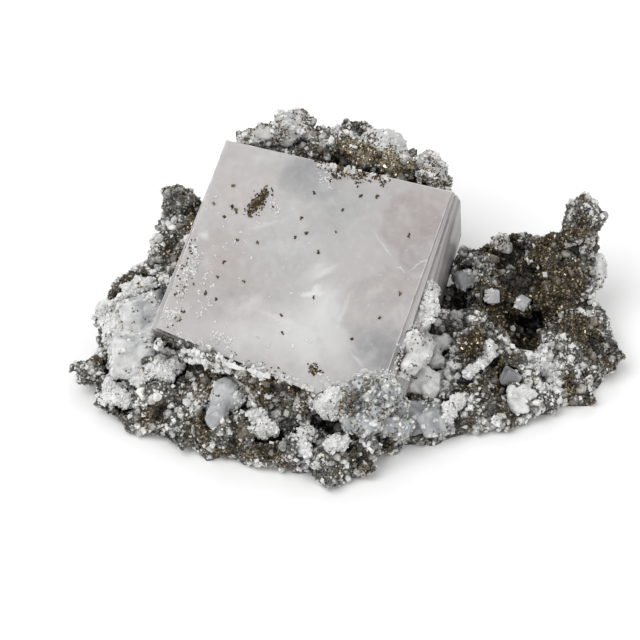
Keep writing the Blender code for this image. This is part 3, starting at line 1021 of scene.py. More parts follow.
# From the lowest to the one on top.
CUBE_ZONES = (
    Zone(-26, 16, 16, 28, Tint.LILAC, 0.75, 20),
    Zone(-22, 33, 11, 10, Tint.ROSE, 0.7, 0),
    Zone(-2, 29, 11, 9, Tint.GREY, 0.7, 10),
    Zone(-12, 20, 13, 12, Tint.GREY, 0.5, 0),
    Zone(-6, 36.5, 8.4, 6.4, Tint.SMOKE, 0.38, 30, 0.3),
    Zone(-9, 37, 8, 6, Tint.SMOKE, 0.45, 30, 0.9),
    Zone(12, 27, 9.5, 11, Tint.ROSE, 0.85, -10, 0.8),
    Zone(13.0, 25, 6.6, 9.6, Tint.DUSK, 0.50, 8, 0.2),
    Zone(11.6, 19.8, 4.6, 3.6, Tint.DUSK, 0.45, -20, 0.9),
    Zone(16, 31, 7, 6, Tint.ROSE, 0.6, 0),
    Zone(-9, 4, 14, 8, Tint.MILK, 0.75, -15),
    Zone(-5, 9.5, 7, 6, Tint.MILK, 0.85, 35),
    Zone(-21, 3, 10, 5, Tint.MILK, 0.5, -17),
    Zone(-6, 17, 5, 2.2, Tint.MILK, 0.5, 20, 0.9),
    Zone(8.6, 8, 10.6, 9.8, Tint.LILAC, 0.62, -18, 0.16),
    Zone(5, 1.8, 8.4, 6.4, Tint.SMOKE, 0.76, -20, 0.9),
    Zone(9, -1, 6, 7, Tint.SMOKE, 0.78, 0),
    Zone(-24.5, 12, 5, 4, Tint.SMOKE, 0.22, 30, 0.9),
    Zone(-28.5, 24.6, 1.8, 1.8, Tint.MILK, 0.7, 0, 0.9),
    Zone(-7.2, 12.2, 3.4, 0.9, Tint.VEIL, 0.85, 4, 0.8),
    Zone(-6.4, 13.2, 1.4, 1.0, Tint.VEIL, 0.7, 40, 0.8),
    Zone(-4.6, 16.6, 4.4, 0.8, Tint.VEIL, 0.35, 30, 0.9),
    Zone(-17.0, 26.0, 6, 0.7, Tint.VEIL, 0.3, 12, 0.9),
    Zone(7.2, 21.8, 4.6, 0.2, Tint.VEIL, 0.5, -55, 0.7),
    Zone(10.6, 17.2, 1.5, 0.2, Tint.VEIL, 0.55, -42, 0.7),
    Zone(14.2, 18.2, 3.3, 0.24, Tint.VEIL, 0.5, 35, 0.7),
    Zone(-1.0, 8.6, 5.6, 0.7, Tint.VEIL, 0.35, 70, 0.9),
    Zone(1.8, -1.0, 3.0, 0.5, Tint.VEIL, 0.4, -50, 0.9),
    Zone(-13, 7, 8, 1.0, Tint.VEIL, 0.3, -24, 0.9),
    Zone(-20, 10, 6, 1.4, Tint.VEIL, 0.25, 35, 0.9),
)


@dataclass(frozen=True)
class CubeFinish:
    """Milky lilac fluorite with smoky zones, white veils and a fracture.

    Attributes:
        crispest: the narrowest border that a zone may have.
        broad_bend, close_bend: how far the borders of zones and of veils bend.
    """

    base: Colour = (0.525, 0.505, 0.50)
    haze: Colour = (0.66, 0.655, 0.65)
    transmission: float = 0.28
    crispest: float = 0.04
    broad_bend: float = 7 * MM
    close_bend: float = 1.2 * MM
    zones: tuple[Zone, ...] = CUBE_ZONES

    def _drift(self, bench: Bench, size: float) -> NodeSocket:
        """Bends the face's coordinates, so that no zone keeps a neat outline.

        Args:
            bench: the material's nodes.
            size: how far apart the bends are, and how far they reach.

        Returns:
            The bent coordinates.
        """
        bend = bench.node(
            "ShaderNodeTexNoise",
            {"Vector": bench.coords, "Scale": 1 / size, "Detail": 3.0},
        ).outputs["Color"]
        bend = bench.node(
            "ShaderNodeVectorMath", {0: bend, 1: (0.5, 0.5, 0.5)}, operation="SUBTRACT"
        ).outputs[0]
        bend = bench.node(
            "ShaderNodeVectorMath", {0: bend, "Scale": size}, operation="SCALE"
        ).outputs[0]
        return bench.node(
            "ShaderNodeVectorMath", {0: bench.coords, 1: bend}, operation="ADD"
        ).outputs[0]

    def material(self, face: CubeFace) -> Material:
        """Makes the material.

        Args:
            face: the cube's display face, which carries the zones.

        Returns:
            The material.
        """
        bench = Bench("milky_fluorite")
        bench.coords = bench.placed(face.centre, face.turn, (1, 1, 1))
        broad = self._drift(bench, self.broad_bend)
        close = self._drift(bench, self.close_bend)
        colour: Value = self.base
        for zone in self.zones:
            place = face.local(zone.across, zone.up)
            disc = bench.placed(
                (place.x, place.y, 0),
                (0, 0, math.radians(zone.turn) + face.tilt),
                (zone.wide * MM, zone.tall * MM, 1),
                close if zone.tint is Tint.VEIL else broad,
            )
            glow = bench.node(
                "ShaderNodeTexGradient", {"Vector": disc}, gradient_type="SPHERICAL"
            ).outputs["Fac"]
            edge = max(zone.edge, self.crispest)
            share = bench.spread(glow, 0, edge, 0, zone.strength)
            colour = bench.mix(share, colour, zone.tint.value)
        haze = bench.spread(bench.clouds(14 * MM, 5, 0.4), 0.3, 0.7, 0, 0.3)
        colour = bench.mix(haze, colour, self.haze)
        wisps = bench.spread(bench.clouds(5 * MM, 6, 0.5), 0.5, 0.8, 0, 0.3)
        colour = bench.mix(wisps, colour, Tint.MILK.value)
        threads = bench.spread(bench.clouds(1.6 * MM, 6, 0.3), 0.42, 0.7, 0, 0.12)
        colour = bench.mix(threads, colour, Tint.MILK.value)
        smoke = bench.spread(bench.clouds(3.4 * MM, 6, 0.2), 0.5, 0.72, 0, 0.14)
        colour = bench.mix(smoke, colour, Tint.SMOKE.value)
        grit = bench.spread(bench.clouds(0.9 * MM, 4), 0.66, 0.72, 0, 0.35)
        colour = bench.mix(grit, colour, Tint.VEIL.value)
        relief = bench.bump(bench.clouds(7 * MM, 4), 0.25 * MM, 0.25)
        relief = bench.bump(bench.clouds(0.8 * MM, 3), 0.02 * MM, 0.25, relief)
        return bench.done(
            Base_Color=colour,
            Roughness=0.24,
            Normal=relief,
            Transmission_Weight=self.transmission,
            Subsurface_Weight=0.35,
            Subsurface_Radius=(1.0, 0.95, 0.95),
            Subsurface_Scale=3 * MM,
            IOR=FLUORITE_IOR,
        )


@dataclass(frozen=True)
class StriatedFinish:
    """The stepped sides of the cube, streaked along its growth steps."""

    name: str = "striated_fluorite"
    dusk: Colour = (0.27, 0.238, 0.24)
    light: Colour = (0.44, 0.415, 0.415)
    streak: Colour = (0.80, 0.79, 0.79)
    transmission: float = 0.2

    def material(self, face: CubeFace) -> Material:
        """Makes the material.

        Args:
            face: the cube's display face, whose right edge the streaks follow.

        Returns:
            The material.
        """
        bench = Bench(self.name)
        framed = bench.placed(face.centre, face.turn, (1, 1, 1))

        def streaks(width: float, length: float, detail: float) -> NodeSocket:
            """Makes noise that is drawn out along the edge."""
            along = bench.placed(
                (0, 0, 0), (0, 0, face.edge_turn), (width, length, width), framed
            )
            return bench.node(
                "ShaderNodeTexNoise",
                {"Vector": along, "Scale": 1.0, "Detail": detail},
            ).outputs["Fac"]

        broad = streaks(2.2 * MM, 40 * MM, 3.0)
        tone = bench.spread(broad, 0.36, 0.64)
        colour = bench.mix(tone, self.dusk, self.light)
        fine = bench.spread(streaks(0.35 * MM, 9 * MM, 2.0), 0.35, 0.65, 0, 0.4)
        colour = bench.mix(fine, colour, self.light)
        white = bench.spread(streaks(0.3 * MM, 6 * MM, 2.0), 0.62, 0.74, 0, 0.75)
        colour = bench.mix(white, colour, self.streak)
        relief = bench.bump(streaks(0.35 * MM, 12 * MM, 3.0), 0.08 * MM, 0.4)
        return bench.done(
            Base_Color=colour,
            Roughness=0.3,
            Normal=relief,
            Transmission_Weight=self.transmission,
            Subsurface_Weight=0.3,
            Subsurface_Radius=(1.0, 0.95, 0.95),
            Subsurface_Scale=2 * MM,
            IOR=FLUORITE_IOR,
        )


@dataclass(frozen=True)
class CubeEdgeFinish:
    """The cube's rounded edges, painted paler than its faces in clouds as a painted
    highlight.
    """

    pale: Colour = (0.62, 0.60, 0.59)
    shade: Colour = (0.42, 0.40, 0.40)

    def material(self) -> Material:
        """Makes the material."""
        bench = Bench("rubbed_fluorite_edge")
        # Painted highlight: the edges are clouded from the darker tone to the pale one.
        highlight_share = bench.spread(bench.clouds(2.5 * MM, 5), 0.4, 0.6)
        colour = bench.mix(highlight_share, self.shade, self.pale)
        relief = bench.bump(bench.clouds(0.6 * MM, 4), 0.05 * MM, 0.5)
        return bench.done(
            Base_Color=colour,
            Roughness=0.3,
            Normal=relief,
            Subsurface_Weight=0.3,
            Subsurface_Radius=(1.0, 0.95, 0.95),
            Subsurface_Scale=1 * MM,
            IOR=FLUORITE_IOR,
        )


# --- Grains ------------------------------------------------------------------


class GrainShape(Enum):
    """The shapes that repeat all over the druse."""

    BEAD = "bead"
    CHIP = "chip"
    CUBE = "cube"
    RHOMB = "rhomb"


@dataclass(frozen=True)
class GrainMaker:
    """Models the few grains that are repeated, each about 1 unit in radius."""

    variants: int = 6
    lumpiness: float = 0.35
    flats: int = 9
    flat_depth: tuple[float, float] = (0.62, 0.9)
    chip_seed: int = 50
    chip_reach: tuple[float, float] = (0.62, 1.2)
    cube_size: float = 1.5
    cube_stretch: float = 0.15
    cube_squeeze: float = 0.08
    rhomb_size: float = 1.45
    rhomb_lean: float = 0.32
    rhomb_lean_step: float = 0.04
    rhomb_unevenness: float = 0.3

    def _bead(self, form: bmesh.types.BMesh, index: int) -> None:
        """Adds a lumpy bead with small flat crystal faces."""
        chance = random.Random(index)
        bmesh.ops.create_icosphere(form, subdivisions=2, radius=1)
        for vertex in form.verts:
            shift = noise.noise(vertex.co * 1.4 + Vector((index * 7.3, 0, 2)))
            vertex.co *= 1 + self.lumpiness * shift
        for _ in range(self.flats):
            out = Vector([chance.gauss(0, 1) for _ in range(3)]).normalized()
            depth = chance.uniform(*self.flat_depth)
            for vertex in form.verts:
                vertex.co -= out * max(0.0, vertex.co.dot(out) - depth)

    def _chip(self, form: bmesh.types.BMesh, index: int) -> None:
        """Adds a stubby crystal with a few uneven faces."""
        chance = random.Random(index + self.chip_seed)
        bmesh.ops.create_icosphere(form, subdivisions=1, radius=1)
        for vertex in form.verts:
            vertex.co *= chance.uniform(*self.chip_reach)

    def _cube(self, form: bmesh.types.BMesh, index: int) -> None:
        """Adds a small cube with faces of slightly different size."""
        bmesh.ops.create_cube(form, size=self.cube_size)
        stretch = (1 + self.cube_stretch * index, 1 - self.cube_squeeze * index, 1)
        bmesh.ops.scale(form, vec=stretch, verts=form.verts)

    def _rhomb(self, form: bmesh.types.BMesh, index: int) -> None:
        """Adds a leaning rhomb with uneven corners."""
        bmesh.ops.create_cube(form, size=self.rhomb_size)
        lean = self.rhomb_lean + self.rhomb_lean_step * index
        for vertex in form.verts:
            x, y, z = vertex.co
            vertex.co = Vector((x + lean * z, y + lean * x * 0.8, z + 0.12 * x * y))
            shift = noise.noise(vertex.co * 2 + Vector((index, 3, 1)))
            vertex.co *= 1 + self.rhomb_unevenness * shift

    def collection(self, shape: GrainShape) -> Collection:
        """Models the variants of a shape.

        Args:
            shape: the shape.

        Returns:
            A collection that isn't in the scene, with one object for each.
        """
        made = bpy.data.collections.new(f"{shape.value}_grains")
        build = {
            GrainShape.BEAD: self._bead,
            GrainShape.CHIP: self._chip,
            GrainShape.CUBE: self._cube,
            GrainShape.RHOMB: self._rhomb,
        }[shape]
        for index in range(self.variants):
            form = bmesh.new()
            build(form, index)
            mesh = bpy.data.meshes.new(f"{shape.value}_{index}")
            form.to_mesh(mesh)
            form.free()
            shade_smooth(mesh, False)
            # The height is read by the painted shade at each grain's foot.
            heights = (points_of(mesh)[:, 2] + 1) / 2
            put_attribute(mesh, "height", np.clip(heights, 0, 1))
            made.objects.link(bpy.data.objects.new(mesh.name, mesh))
        return made


# The inputs of the tree that strews grains.
SCATTER_INPUTS = {
    "Geometry": "NodeSocketGeometry",
    "Grains": "NodeSocketCollection",
    "Weight": "NodeSocketString",
    "Seed": "NodeSocketInt",
    **dict.fromkeys(
        ("Spacing", "Density", "Small", "Large", "Lean", "Palest", "Darkest"),
        "NodeSocketFloat",
    ),
    "Finish": "NodeSocketMaterial",
}


@dataclass(frozen=True)
class Scatter:
    """One kind of grain strewn over a surface.

    Attributes:
        name: the piece's name.
        shape: which grain is repeated.
        weight: the attribute that says where it grows or, for grains that are
            set on given points, which way they stand.
        radii: the range of the grains' radii.
        lean: how far a grain may tip from the surface's normal.
        tones: the range of its own tone.
        seed: what the random numbers start from.
        spacing: the least distance between two grains, or 0 for grains that
            are set on given points.
        density: the most grains in a square metre.
        squeeze: the least and the most that a grain is stretched by, by axis.
    """

    name: str
    shape: GrainShape
    weight: str
    radii: tuple[float, float]
    lean: float
    tones: tuple[float, float]
    seed: int
    spacing: float = 0
    density: float = 0
    squeeze: tuple[Triple, Triple] = ((0.7, 0.7, 0.6), (1.25, 1.25, 1.2))

    def _tree(self) -> tuple[NodeTree, dict[str, str]]:
        """Builds the node tree.

        Returns:
            The tree, and the identifier of each of its inputs by name.
        """
        tree = bpy.data.node_groups.new(f"{self.name}_tree", "GeometryNodeTree")
        face = tree.interface
        keys = {
            name: face.new_socket(name, in_out="INPUT", socket_type=kind).identifier
            for name, kind in SCATTER_INPUTS.items()
        }
        face.new_socket("Geometry", in_out="OUTPUT", socket_type="NodeSocketGeometry")
        add = partial(add_node, tree)
        given = add("NodeGroupInput").outputs
        weight = add(
            "GeometryNodeInputNamedAttribute",
            {"Name": given["Weight"]},
            data_type="FLOAT" if self.spacing else "FLOAT_VECTOR",
        ).outputs["Attribute"]
        if self.spacing:
            strewn = add(
                "GeometryNodeDistributePointsOnFaces",
                {
                    "Mesh": given["Geometry"],
                    "Distance Min": given["Spacing"],
                    "Density Max": given["Density"],
                    "Density Factor": weight,
                    "Seed": given["Seed"],
                },
                distribute_method="POISSON",
            )
            points, upright = strewn.outputs["Points"], strewn.outputs["Rotation"]
        else:
            aligned = add(
                "FunctionNodeAlignRotationToVector", {"Vector": weight}, axis="Z"
            )
            points, upright = given["Geometry"], aligned.outputs[0]
        limit = add("ShaderNodeMath", {0: given["Lean"], 1: -1.0}, operation="MULTIPLY")
        low = add("ShaderNodeCombineXYZ", {0: limit.outputs[0], 1: limit.outputs[0]})
        high = add(
            "ShaderNodeCombineXYZ", {0: given["Lean"], 1: given["Lean"], 2: math.tau}
        )
        tip = add(
            "FunctionNodeRandomValue",
            {0: low.outputs[0], 1: high.outputs[0], "Seed": given["Seed"]},
            data_type="FLOAT_VECTOR",
        )
        turn = add("FunctionNodeEulerToRotation", {0: tip.outputs[0]})
        rotation = add(
            "FunctionNodeRotateRotation",
            {0: upright, 1: turn.outputs[0]},
            rotation_space="LOCAL",
        )
        radius = add(
            "FunctionNodeRandomValue",
            {2: given["Small"], 3: given["Large"], "Seed": given["Seed"]},
            data_type="FLOAT",
        )
        squeeze = add(
            "FunctionNodeRandomValue",
            {0: self.squeeze[0], 1: self.squeeze[1], "Seed": given["Seed"]},
            data_type="FLOAT_VECTOR",
        )
        size = add(
            "ShaderNodeVectorMath",
            {0: squeeze.outputs[0], "Scale": radius.outputs[1]},
            operation="SCALE",
        )
        grains = add(
            "GeometryNodeCollectionInfo",
            {"Collection": given["Grains"], 1: True, 2: True},
        )
        placed = add(
            "GeometryNodeInstanceOnPoints",
            {
                "Points": points,
                "Instance": grains.outputs[0],
                "Pick Instance": True,
                "Rotation": rotation.outputs[0],
                "Scale": size.outputs[0],
            },
        )
        tone = add(
            "FunctionNodeRandomValue",
            {2: given["Darkest"], 3: given["Palest"], "Seed": given["Seed"]},
            data_type="FLOAT",
        )
        toned = add(
            "GeometryNodeStoreNamedAttribute",
            {"Geometry": placed.outputs[0], "Name": "tone", "Value": tone.outputs[1]},
            data_type="FLOAT",
            domain="INSTANCE",
        )
        solid = add("GeometryNodeRealizeInstances", {0: toned.outputs[0]})
        finished = add(
            "GeometryNodeSetMaterial",
            {"Geometry": solid.outputs[0], "Material": given["Finish"]},
        )
        add("NodeGroupOutput", {0: finished.outputs[0]})
        return tree, keys

    def build(self, ground: Object, grains: Collection, finish: Material) -> Object:
        """Strews the grains over the ground and makes them plain mesh.

        Args:
            ground: the surface, whose mesh has the weight.
            grains: the shapes to repeat.
            finish: the grains' material.

        Returns:
            The grains, as one piece.
        """
        tree, keys = self._tree()
        piece = add_object(self.name, ground.data.copy())
        piece.data.materials.clear()
        modifier = piece.modifiers.new("scatter", "NODES")
        modifier.node_group = tree
        values = {
            "Grains": grains,
            "Weight": self.weight,
            "Seed": self.seed,
            "Spacing": self.spacing,
            "Density": self.density,
            "Small": self.radii[0],
            "Large": self.radii[1],
            "Lean": self.lean,
            "Darkest": self.tones[0],
            "Palest": self.tones[1],
            "Finish": finish,
        }
        for name, value in values.items():
            modifier[keys[name]] = value
        bake(piece)
        return piece


# --- The matrix --------------------------------------------------------------


@dataclass(frozen=True)
class Patch:
    """A place where something grows thickly, or where shade or light is painted.

    Attributes:
        across, up: its middle, as a display place in millimetres.
        radius: how far it reaches, in millimetres.
        strength: how thickly it grows, or how strong the painted shade or light is, in the
            middle.
    """

    across: float
    up: float
    radius: float
    strength: float = 1.0


PYRITE, PALE, DARK, OPEN = Growth.PYRITE, Growth.PALE, Growth.DARK, Growth.OPEN

PYRITE_PATCHES = (
    # the brown mass on the right
    Patch(38, 13, 15, 0.9),
    Patch(26, 2, 7),
    Patch(30, 21, 8),
    Patch(39, 23, 8),
    Patch(47, 25, 5, 0.8),
    Patch(43, 14, 9),
    Patch(32, 10, 9),
    Patch(35, 2, 8),
    Patch(47, 6, 6, 0.8),
    Patch(52, -1, 5, 0.6),
    Patch(49, -9, 4, 0.6),
    Patch(26, -6, 5, 0.6),
    Patch(24, -13, 4, 0.5),
    Patch(31, -2, 5, 0.8),
    # the front
    Patch(-19.6, -5.6, 3.6),
    Patch(-11.2, -7.5, 4),
    Patch(-15.4, -6.8, 3.4),
    Patch(-6.4, -10.4, 2.6, 0.9),
    Patch(-0.2, -9.5, 3),
    Patch(-28, -5, 6, 0.8),
    Patch(-39, -12, 5, 0.7),
    Patch(-31, -15, 5, 0.6),
    Patch(-18, -19, 5, 0.6),
    Patch(3, -21, 6, 0.6),
    Patch(7, -14, 4, 0.6),
    # the left ridge
    Patch(-31.6, 26.5, 3, 0.8),
    Patch(-35, 22, 4, 0.7),
    Patch(-30, 31, 3, 0.6),
    Patch(-51, -5, 3, 0.4),
    # behind the cube
    Patch(10, 38, 7),
    Patch(0, 40, 5, 0.9),
    Patch(4, 41, 5),
    Patch(1, 43, 3, 0.9),
    Patch(16, 34, 4, 0.7),
    Patch(-8, 40, 4, 0.5),
)
PALE_PATCHES = (
    Patch(-37, 1, 4),
    Patch(-31, -1, 5),
    Patch(-25, -2, 4, 0.8),
    Patch(-46, -6, 4, 0.8),
    Patch(-49, 8, 5, 0.9),
    Patch(39, -3, 6, 0.9),
    Patch(35, -9, 5, 0.8),
    Patch(47, -4, 4, 0.6),
    Patch(19, -16, 4, 0.8),
    Patch(30, -17, 4, 0.8),
    Patch(40, -14, 3, 0.7),
    Patch(4, -17, 3, 0.7),
    Patch(-2, -14, 3, 0.7),
    Patch(-14, -14, 3, 0.8),
    Patch(12, 2, 3, 0.8),
    Patch(49, 12, 3, 0.6),
    Patch(-22, -7, 4, 0.8),
    Patch(-14.6, -8.6, 3, 0.7),
    Patch(-7, -10, 3, 0.8),
    Patch(-8.5, -20, 4, 0.6),
    Patch(-30, -9, 4, 0.5),
    Patch(15, -9, 4, 0.8),
    Patch(19, -3, 4, 0.7),
    Patch(24, -10, 4, 0.6),
    Patch(-16, 45, 7, 0.9),
    Patch(16, 38, 6, 0.7),
    Patch(-5, 38, 2.4, 0.6),
)
# Hollows that are painted darker: painted shade.
DARK_PATCHES = (
    Patch(34, 14.4, 4),
    Patch(-13.4, -13.6, 2, 0.8),
    Patch(-1.6, -12.8, 2.4, 0.8),
    Patch(2.6, -13, 2.4, 0.8),
    Patch(34, 15, 5),
    Patch(37, 5, 4),
    Patch(22, 9, 4),
    Patch(-11, 42, 3, 0.8),
    Patch(-29, 17, 3, 0.6),
    Patch(-34, -13, 8, 0.3),
)
# Places that are painted paler: painted light where they catch it.
OPEN_PATCHES = (
    Patch(-21, -6, 5),
    Patch(-11.5, -8.4, 5),
    Patch(-5, -10.4, 4, 0.8),
    Patch(9, 38.5, 7),
    Patch(2, 41, 6),
    Patch(-28, -8, 4, 0.8),
)
PATCHES = {
    PYRITE: PYRITE_PATCHES,
    PALE: PALE_PATCHES,
    DARK: DARK_PATCHES,
    OPEN: OPEN_PATCHES,
}

# One piece for each of the bed's bands.
GREY_CHIPS = tuple(
    Scatter(
        f"grey_chips_{place}",
        GrainShape.CHIP,
        f"chips_{index}",
        radii=(0.15 * MM, 0.44 * MM),
        lean=1.5,
        tones=(0.15, 0.85),
        seed=11 + index,
        spacing=0.42 * MM,
        density=6.0e6,
    )
    for index, place in enumerate(("left", "front", "middle", "right"))
)
GREY_BEADS = Scatter(
    "grey_beads",
    GrainShape.BEAD,
    "beads",
    radii=(0.4 * MM, 1.15 * MM),
    lean=0.5,
    tones=(0.2, 0.8),
    seed=21,
    spacing=1.0 * MM,
    density=1.6e6,
)
PYRITE_CRYSTALS = Scatter(
    "pyrite_crystals",
    GrainShape.CUBE,
    "brass",
    radii=(0.12 * MM, 0.26 * MM),
    lean=1.2,
    tones=(0.0, 0.97),
    seed=31,
    spacing=0.34 * MM,
    density=10.0e6,
)
DOLOMITE_RHOMBS = Scatter(
    "dolomite_rhombs",
    GrainShape.RHOMB,
    "rhombs",
    radii=(0.22 * MM, 0.66 * MM),
    lean=1.0,
    tones=(0.2, 1.0),
    seed=41,
    spacing=0.45 * MM,
    density=5.0e6,
)


@dataclass
class DruseMatrix:
    """The druse that carries the crystals: its bed and all its grains.

    Attributes:
        inset: how far the bed lies inside its solid, to leave room for grains.
        bend_size, bend_reach, bend_shifts: how the pattern of knobs is bent.
        rim: how far above its underside the relief is at its full height.
        crystal_gap: the least gap between it and a crystal.
        crystal_reach, crystal_lift: how near to a crystal it stays low, and
            how high it may rise there.
        crease, hollow: how deep a crease between knobs and a hollow are where
        their painted shade begins and where it is darkest.
        crease, hollow: how deep a crease between knobs and a hollow are where
            they begin to darken and where they are darkest.
        grain_room: the free room where grains begin and where they are full.
        bands: the places along X where one piece of chips ends and the next
            begins.
    """

    voxel: float = 0.42 * MM
    most_triangles: int = 190_000
    inset: float = 0.55 * MM
    lumps: Relief = Relief(1.3 * MM, 6 * MM, 4, 0.35)
    knobs: Relief = Relief(1.0 * MM, 2.7 * MM, level=0.5)
    beads: Relief = Relief(0.35 * MM, 1.0 * MM)
    bend_size: float = 3 * MM
    bend_reach: float = 0.8 * MM
    bend_shifts: Triple = (1.0, 12.0, 23.0)
    rim: float = 1.2 * MM
    foot: float = 0.25 * MM
    crystal_gap: float = 0.12 * MM
    crystal_reach: float = 2.5 * MM
    crystal_lift: float = 0.2 * MM
    box_gap: float = 0.02 * MM
    patch_bends: Relief = Relief(0.45, 3.5 * MM, 3)
    patch_fade: float = 0.75
    brassy: Clouds = Clouds(4.5 * MM, 4, 21.0, 0.05, 0.4)
    pale: Clouds = Clouds(5.0 * MM, 3, 47.0, 0.22, 0.5)
    clumps: Clouds = Clouds(2.2 * MM, 3, 63.0, -0.25, 0.35)
    chance_share: float = 0.7
    crease_rounds: int = 6
    crease: tuple[float, float] = (-0.03 * MM, 0.12 * MM)
    hollow_rounds: int = 40
    hollow: tuple[float, float] = (0.15 * MM, 1.1 * MM)
    grain_room: tuple[float, float] = (0.35 * MM, 0.9 * MM)
    bands: tuple[float, ...] = (-1.0, -30 * MM, -10 * MM, 16 * MM, 1.0)
    pieces: list[Object] = field(default_factory=list)

    def build(self, eye: Viewpoint) -> Object:
        """Makes the bed and strews its grains.

        Args:
            eye: where the patches are seen from.

        Returns:
            The bed.
        """
        bed = merged_copy(MATRIX_NODE, "matrix_bed")
        surface = tree_of([bed.data])
        remeshed(bed, self.voxel)
        others = [
            node.data for name, node in FRAME["nodes"].items() if name != MATRIX_NODE
        ]
        crystals = tree_of(others)
        self._carve(bed.data, crystals)
        reduced(bed, self.most_triangles)
        self._zone(bed.data, surface, crystals, eye)
        shade_smooth(bed.data)
        bed.data.materials.append(DruseBed().material())
        self.pieces = [bed, *self._grains(bed)]
        return bed

    def _room(self, points: Points, crystals: BVHTree) -> tuple[Points, Points]:
        """Measures the room round each point of the bed.

        Args:
            points: the bed's points.
            crystals: the surfaces of what stands in it.

        Returns:
            How far each point is above the underside, from 0 to 1 over the
            rim, and how far it is from the crystals, in metres.
        """
        floor = points[:, 2].min()
        side = smoothstep(floor, floor + self.rim, points[:, 2])
        free = np.empty(len(points))
        for index, point in enumerate(points):
            nearest, normal, _, distance = crystals.find_nearest(Vector(point))
            inside = (Vector(point) - nearest).dot(normal) < 0
            free[index] = -distance if inside else distance
        return side, free

    def _carve(self, mesh: Mesh, crystals: BVHTree) -> None:
        """Gives the bed its lumps and knobs.

        Args:
            mesh: the bed's mesh.
            crystals: the surfaces of what stands in it.
        """
        points, normals = points_of(mesh), normals_of(mesh)
        floor = points[:, 2].min()
        side, free = self._room(points, crystals)
        bends = [
            fractal(points, self.bend_size, 2, shift) for shift in self.bend_shifts
        ]
        bent = points + self.bend_reach * np.stack(bends, axis=1)
        lift = self.lumps.lift(points, 3.1) - self.inset
        lift += self.knobs.lift(bent, 5.0) + self.beads.lift(bent, 15.0)
        lift = np.minimum(lift, free - self.crystal_gap)
        low_lift = np.minimum(lift, self.crystal_lift)
        lift = np.where(free < self.crystal_reach, low_lift, lift)
        low, high = (np.array(corner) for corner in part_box(MATRIX_NODE))
        moved = points + normals * (lift * side)[:, None]
        moved = np.clip(moved, low + self.box_gap, high - self.box_gap)
        moved[points[:, 2] < floor + self.foot, 2] = floor
        put_points(mesh, moved)

    def _zone(
        self, mesh: Mesh, surface: BVHTree, crystals: BVHTree, eye: Viewpoint
    ) -> None:
        """Stores what grows where on the bed.

        Args:
            mesh: the bed's mesh.
            surface: the matrix, which the patches are seen on.
            crystals: the surfaces of what stands in the bed.
            eye: where the patches are seen from.
        """
        points, normals = points_of(mesh), normals_of(mesh)
        wobble = 1 + self.patch_bends.lift(points, 9.0)
        zones = {kind: np.zeros(len(points)) for kind in Growth}
        for growth, patches in PATCHES.items():
            for patch in patches:
                middle, _ = eye.touch(surface, patch.across, patch.up)
                distance = np.linalg.norm(points - np.array(middle), axis=1)
                depth = 1 - distance / (patch.radius * MM * wobble)
                share = patch.strength * smoothstep(0, self.patch_fade, depth)
                zones[growth] = np.maximum(zones[growth], share)
        brassy = self.chance_share * self.brassy.share(points)
        pale = self.pale.share(points)
        pale *= self.chance_share * (1 - 0.8 * zones[PYRITE])
        zones[PYRITE] = np.clip(np.maximum(zones[PYRITE], brassy), 0, 1)
        zones[PALE] = np.clip(np.maximum(zones[PALE], pale), 0, 1)
        zones[PYRITE] *= 1 - 0.8 * zones[PALE]
        # Painted shade: the creases between knobs and the deep hollows are marked to be
        # painted darker.
        crease = ((relaxed(mesh, points, self.crease_rounds) - points) * normals).sum(1)
        put_attribute(mesh, "knob", 1 - smoothstep(*self.crease, crease))
        hollow = ((relaxed(mesh, points, self.hollow_rounds) - points) * normals).sum(1)
        zones[DARK] = np.maximum(zones[DARK] * 0.85, smoothstep(*self.hollow, hollow))
        zones[DARK] *= 1 - zones[OPEN]
        for kind, values in zones.items():
            put_attribute(mesh, kind.value, values)
        side, free = self._room(points, crystals)
        room = side * smoothstep(*self.grain_room, free)
        lit = room * (1 - 0.8 * zones[DARK])
        grey = lit * (1 - 0.75 * zones[PYRITE]) * (1 - 0.5 * zones[PALE])
        for index, (start, end) in enumerate(zip(self.bands, self.bands[1:])):
            inside = (points[:, 0] >= start) & (points[:, 0] < end)
            put_attribute(mesh, f"chips_{index}", grey * inside)
        put_attribute(mesh, "beads", grey * self.clumps.share(points))
        brass = lit * (0.07 + zones[PYRITE] + 0.5 * zones[OPEN])
        put_attribute(mesh, "brass", brass)
        stray = 0.07 * (1 - zones[PYRITE])
        put_attribute(mesh, "rhombs", lit * (stray + zones[PALE] ** 1.5))

    def _grains(self, bed: Object) -> list[Object]:
        """Strews beads, chips, pyrite and dolomite over the bed.

        Args:
            bed: the bed, with its weights.

        Returns:
            The pieces.
        """
        maker = GrainMaker()
        grey, brass = DruseFinish().material(), PyriteFinish().material()
        white = DolomiteFinish().material()
        rows = [(chips, grey) for chips in GREY_CHIPS]
        rows += [(GREY_BEADS, grey), (PYRITE_CRYSTALS, brass), (DOLOMITE_RHOMBS, white)]
        grains = {shape: maker.collection(shape) for shape in GrainShape}
        return [
            scatter.build(bed, grains[scatter.shape], look) for scatter, look in rows
        ]


# --- Crystals ----------------------------------------------------------------


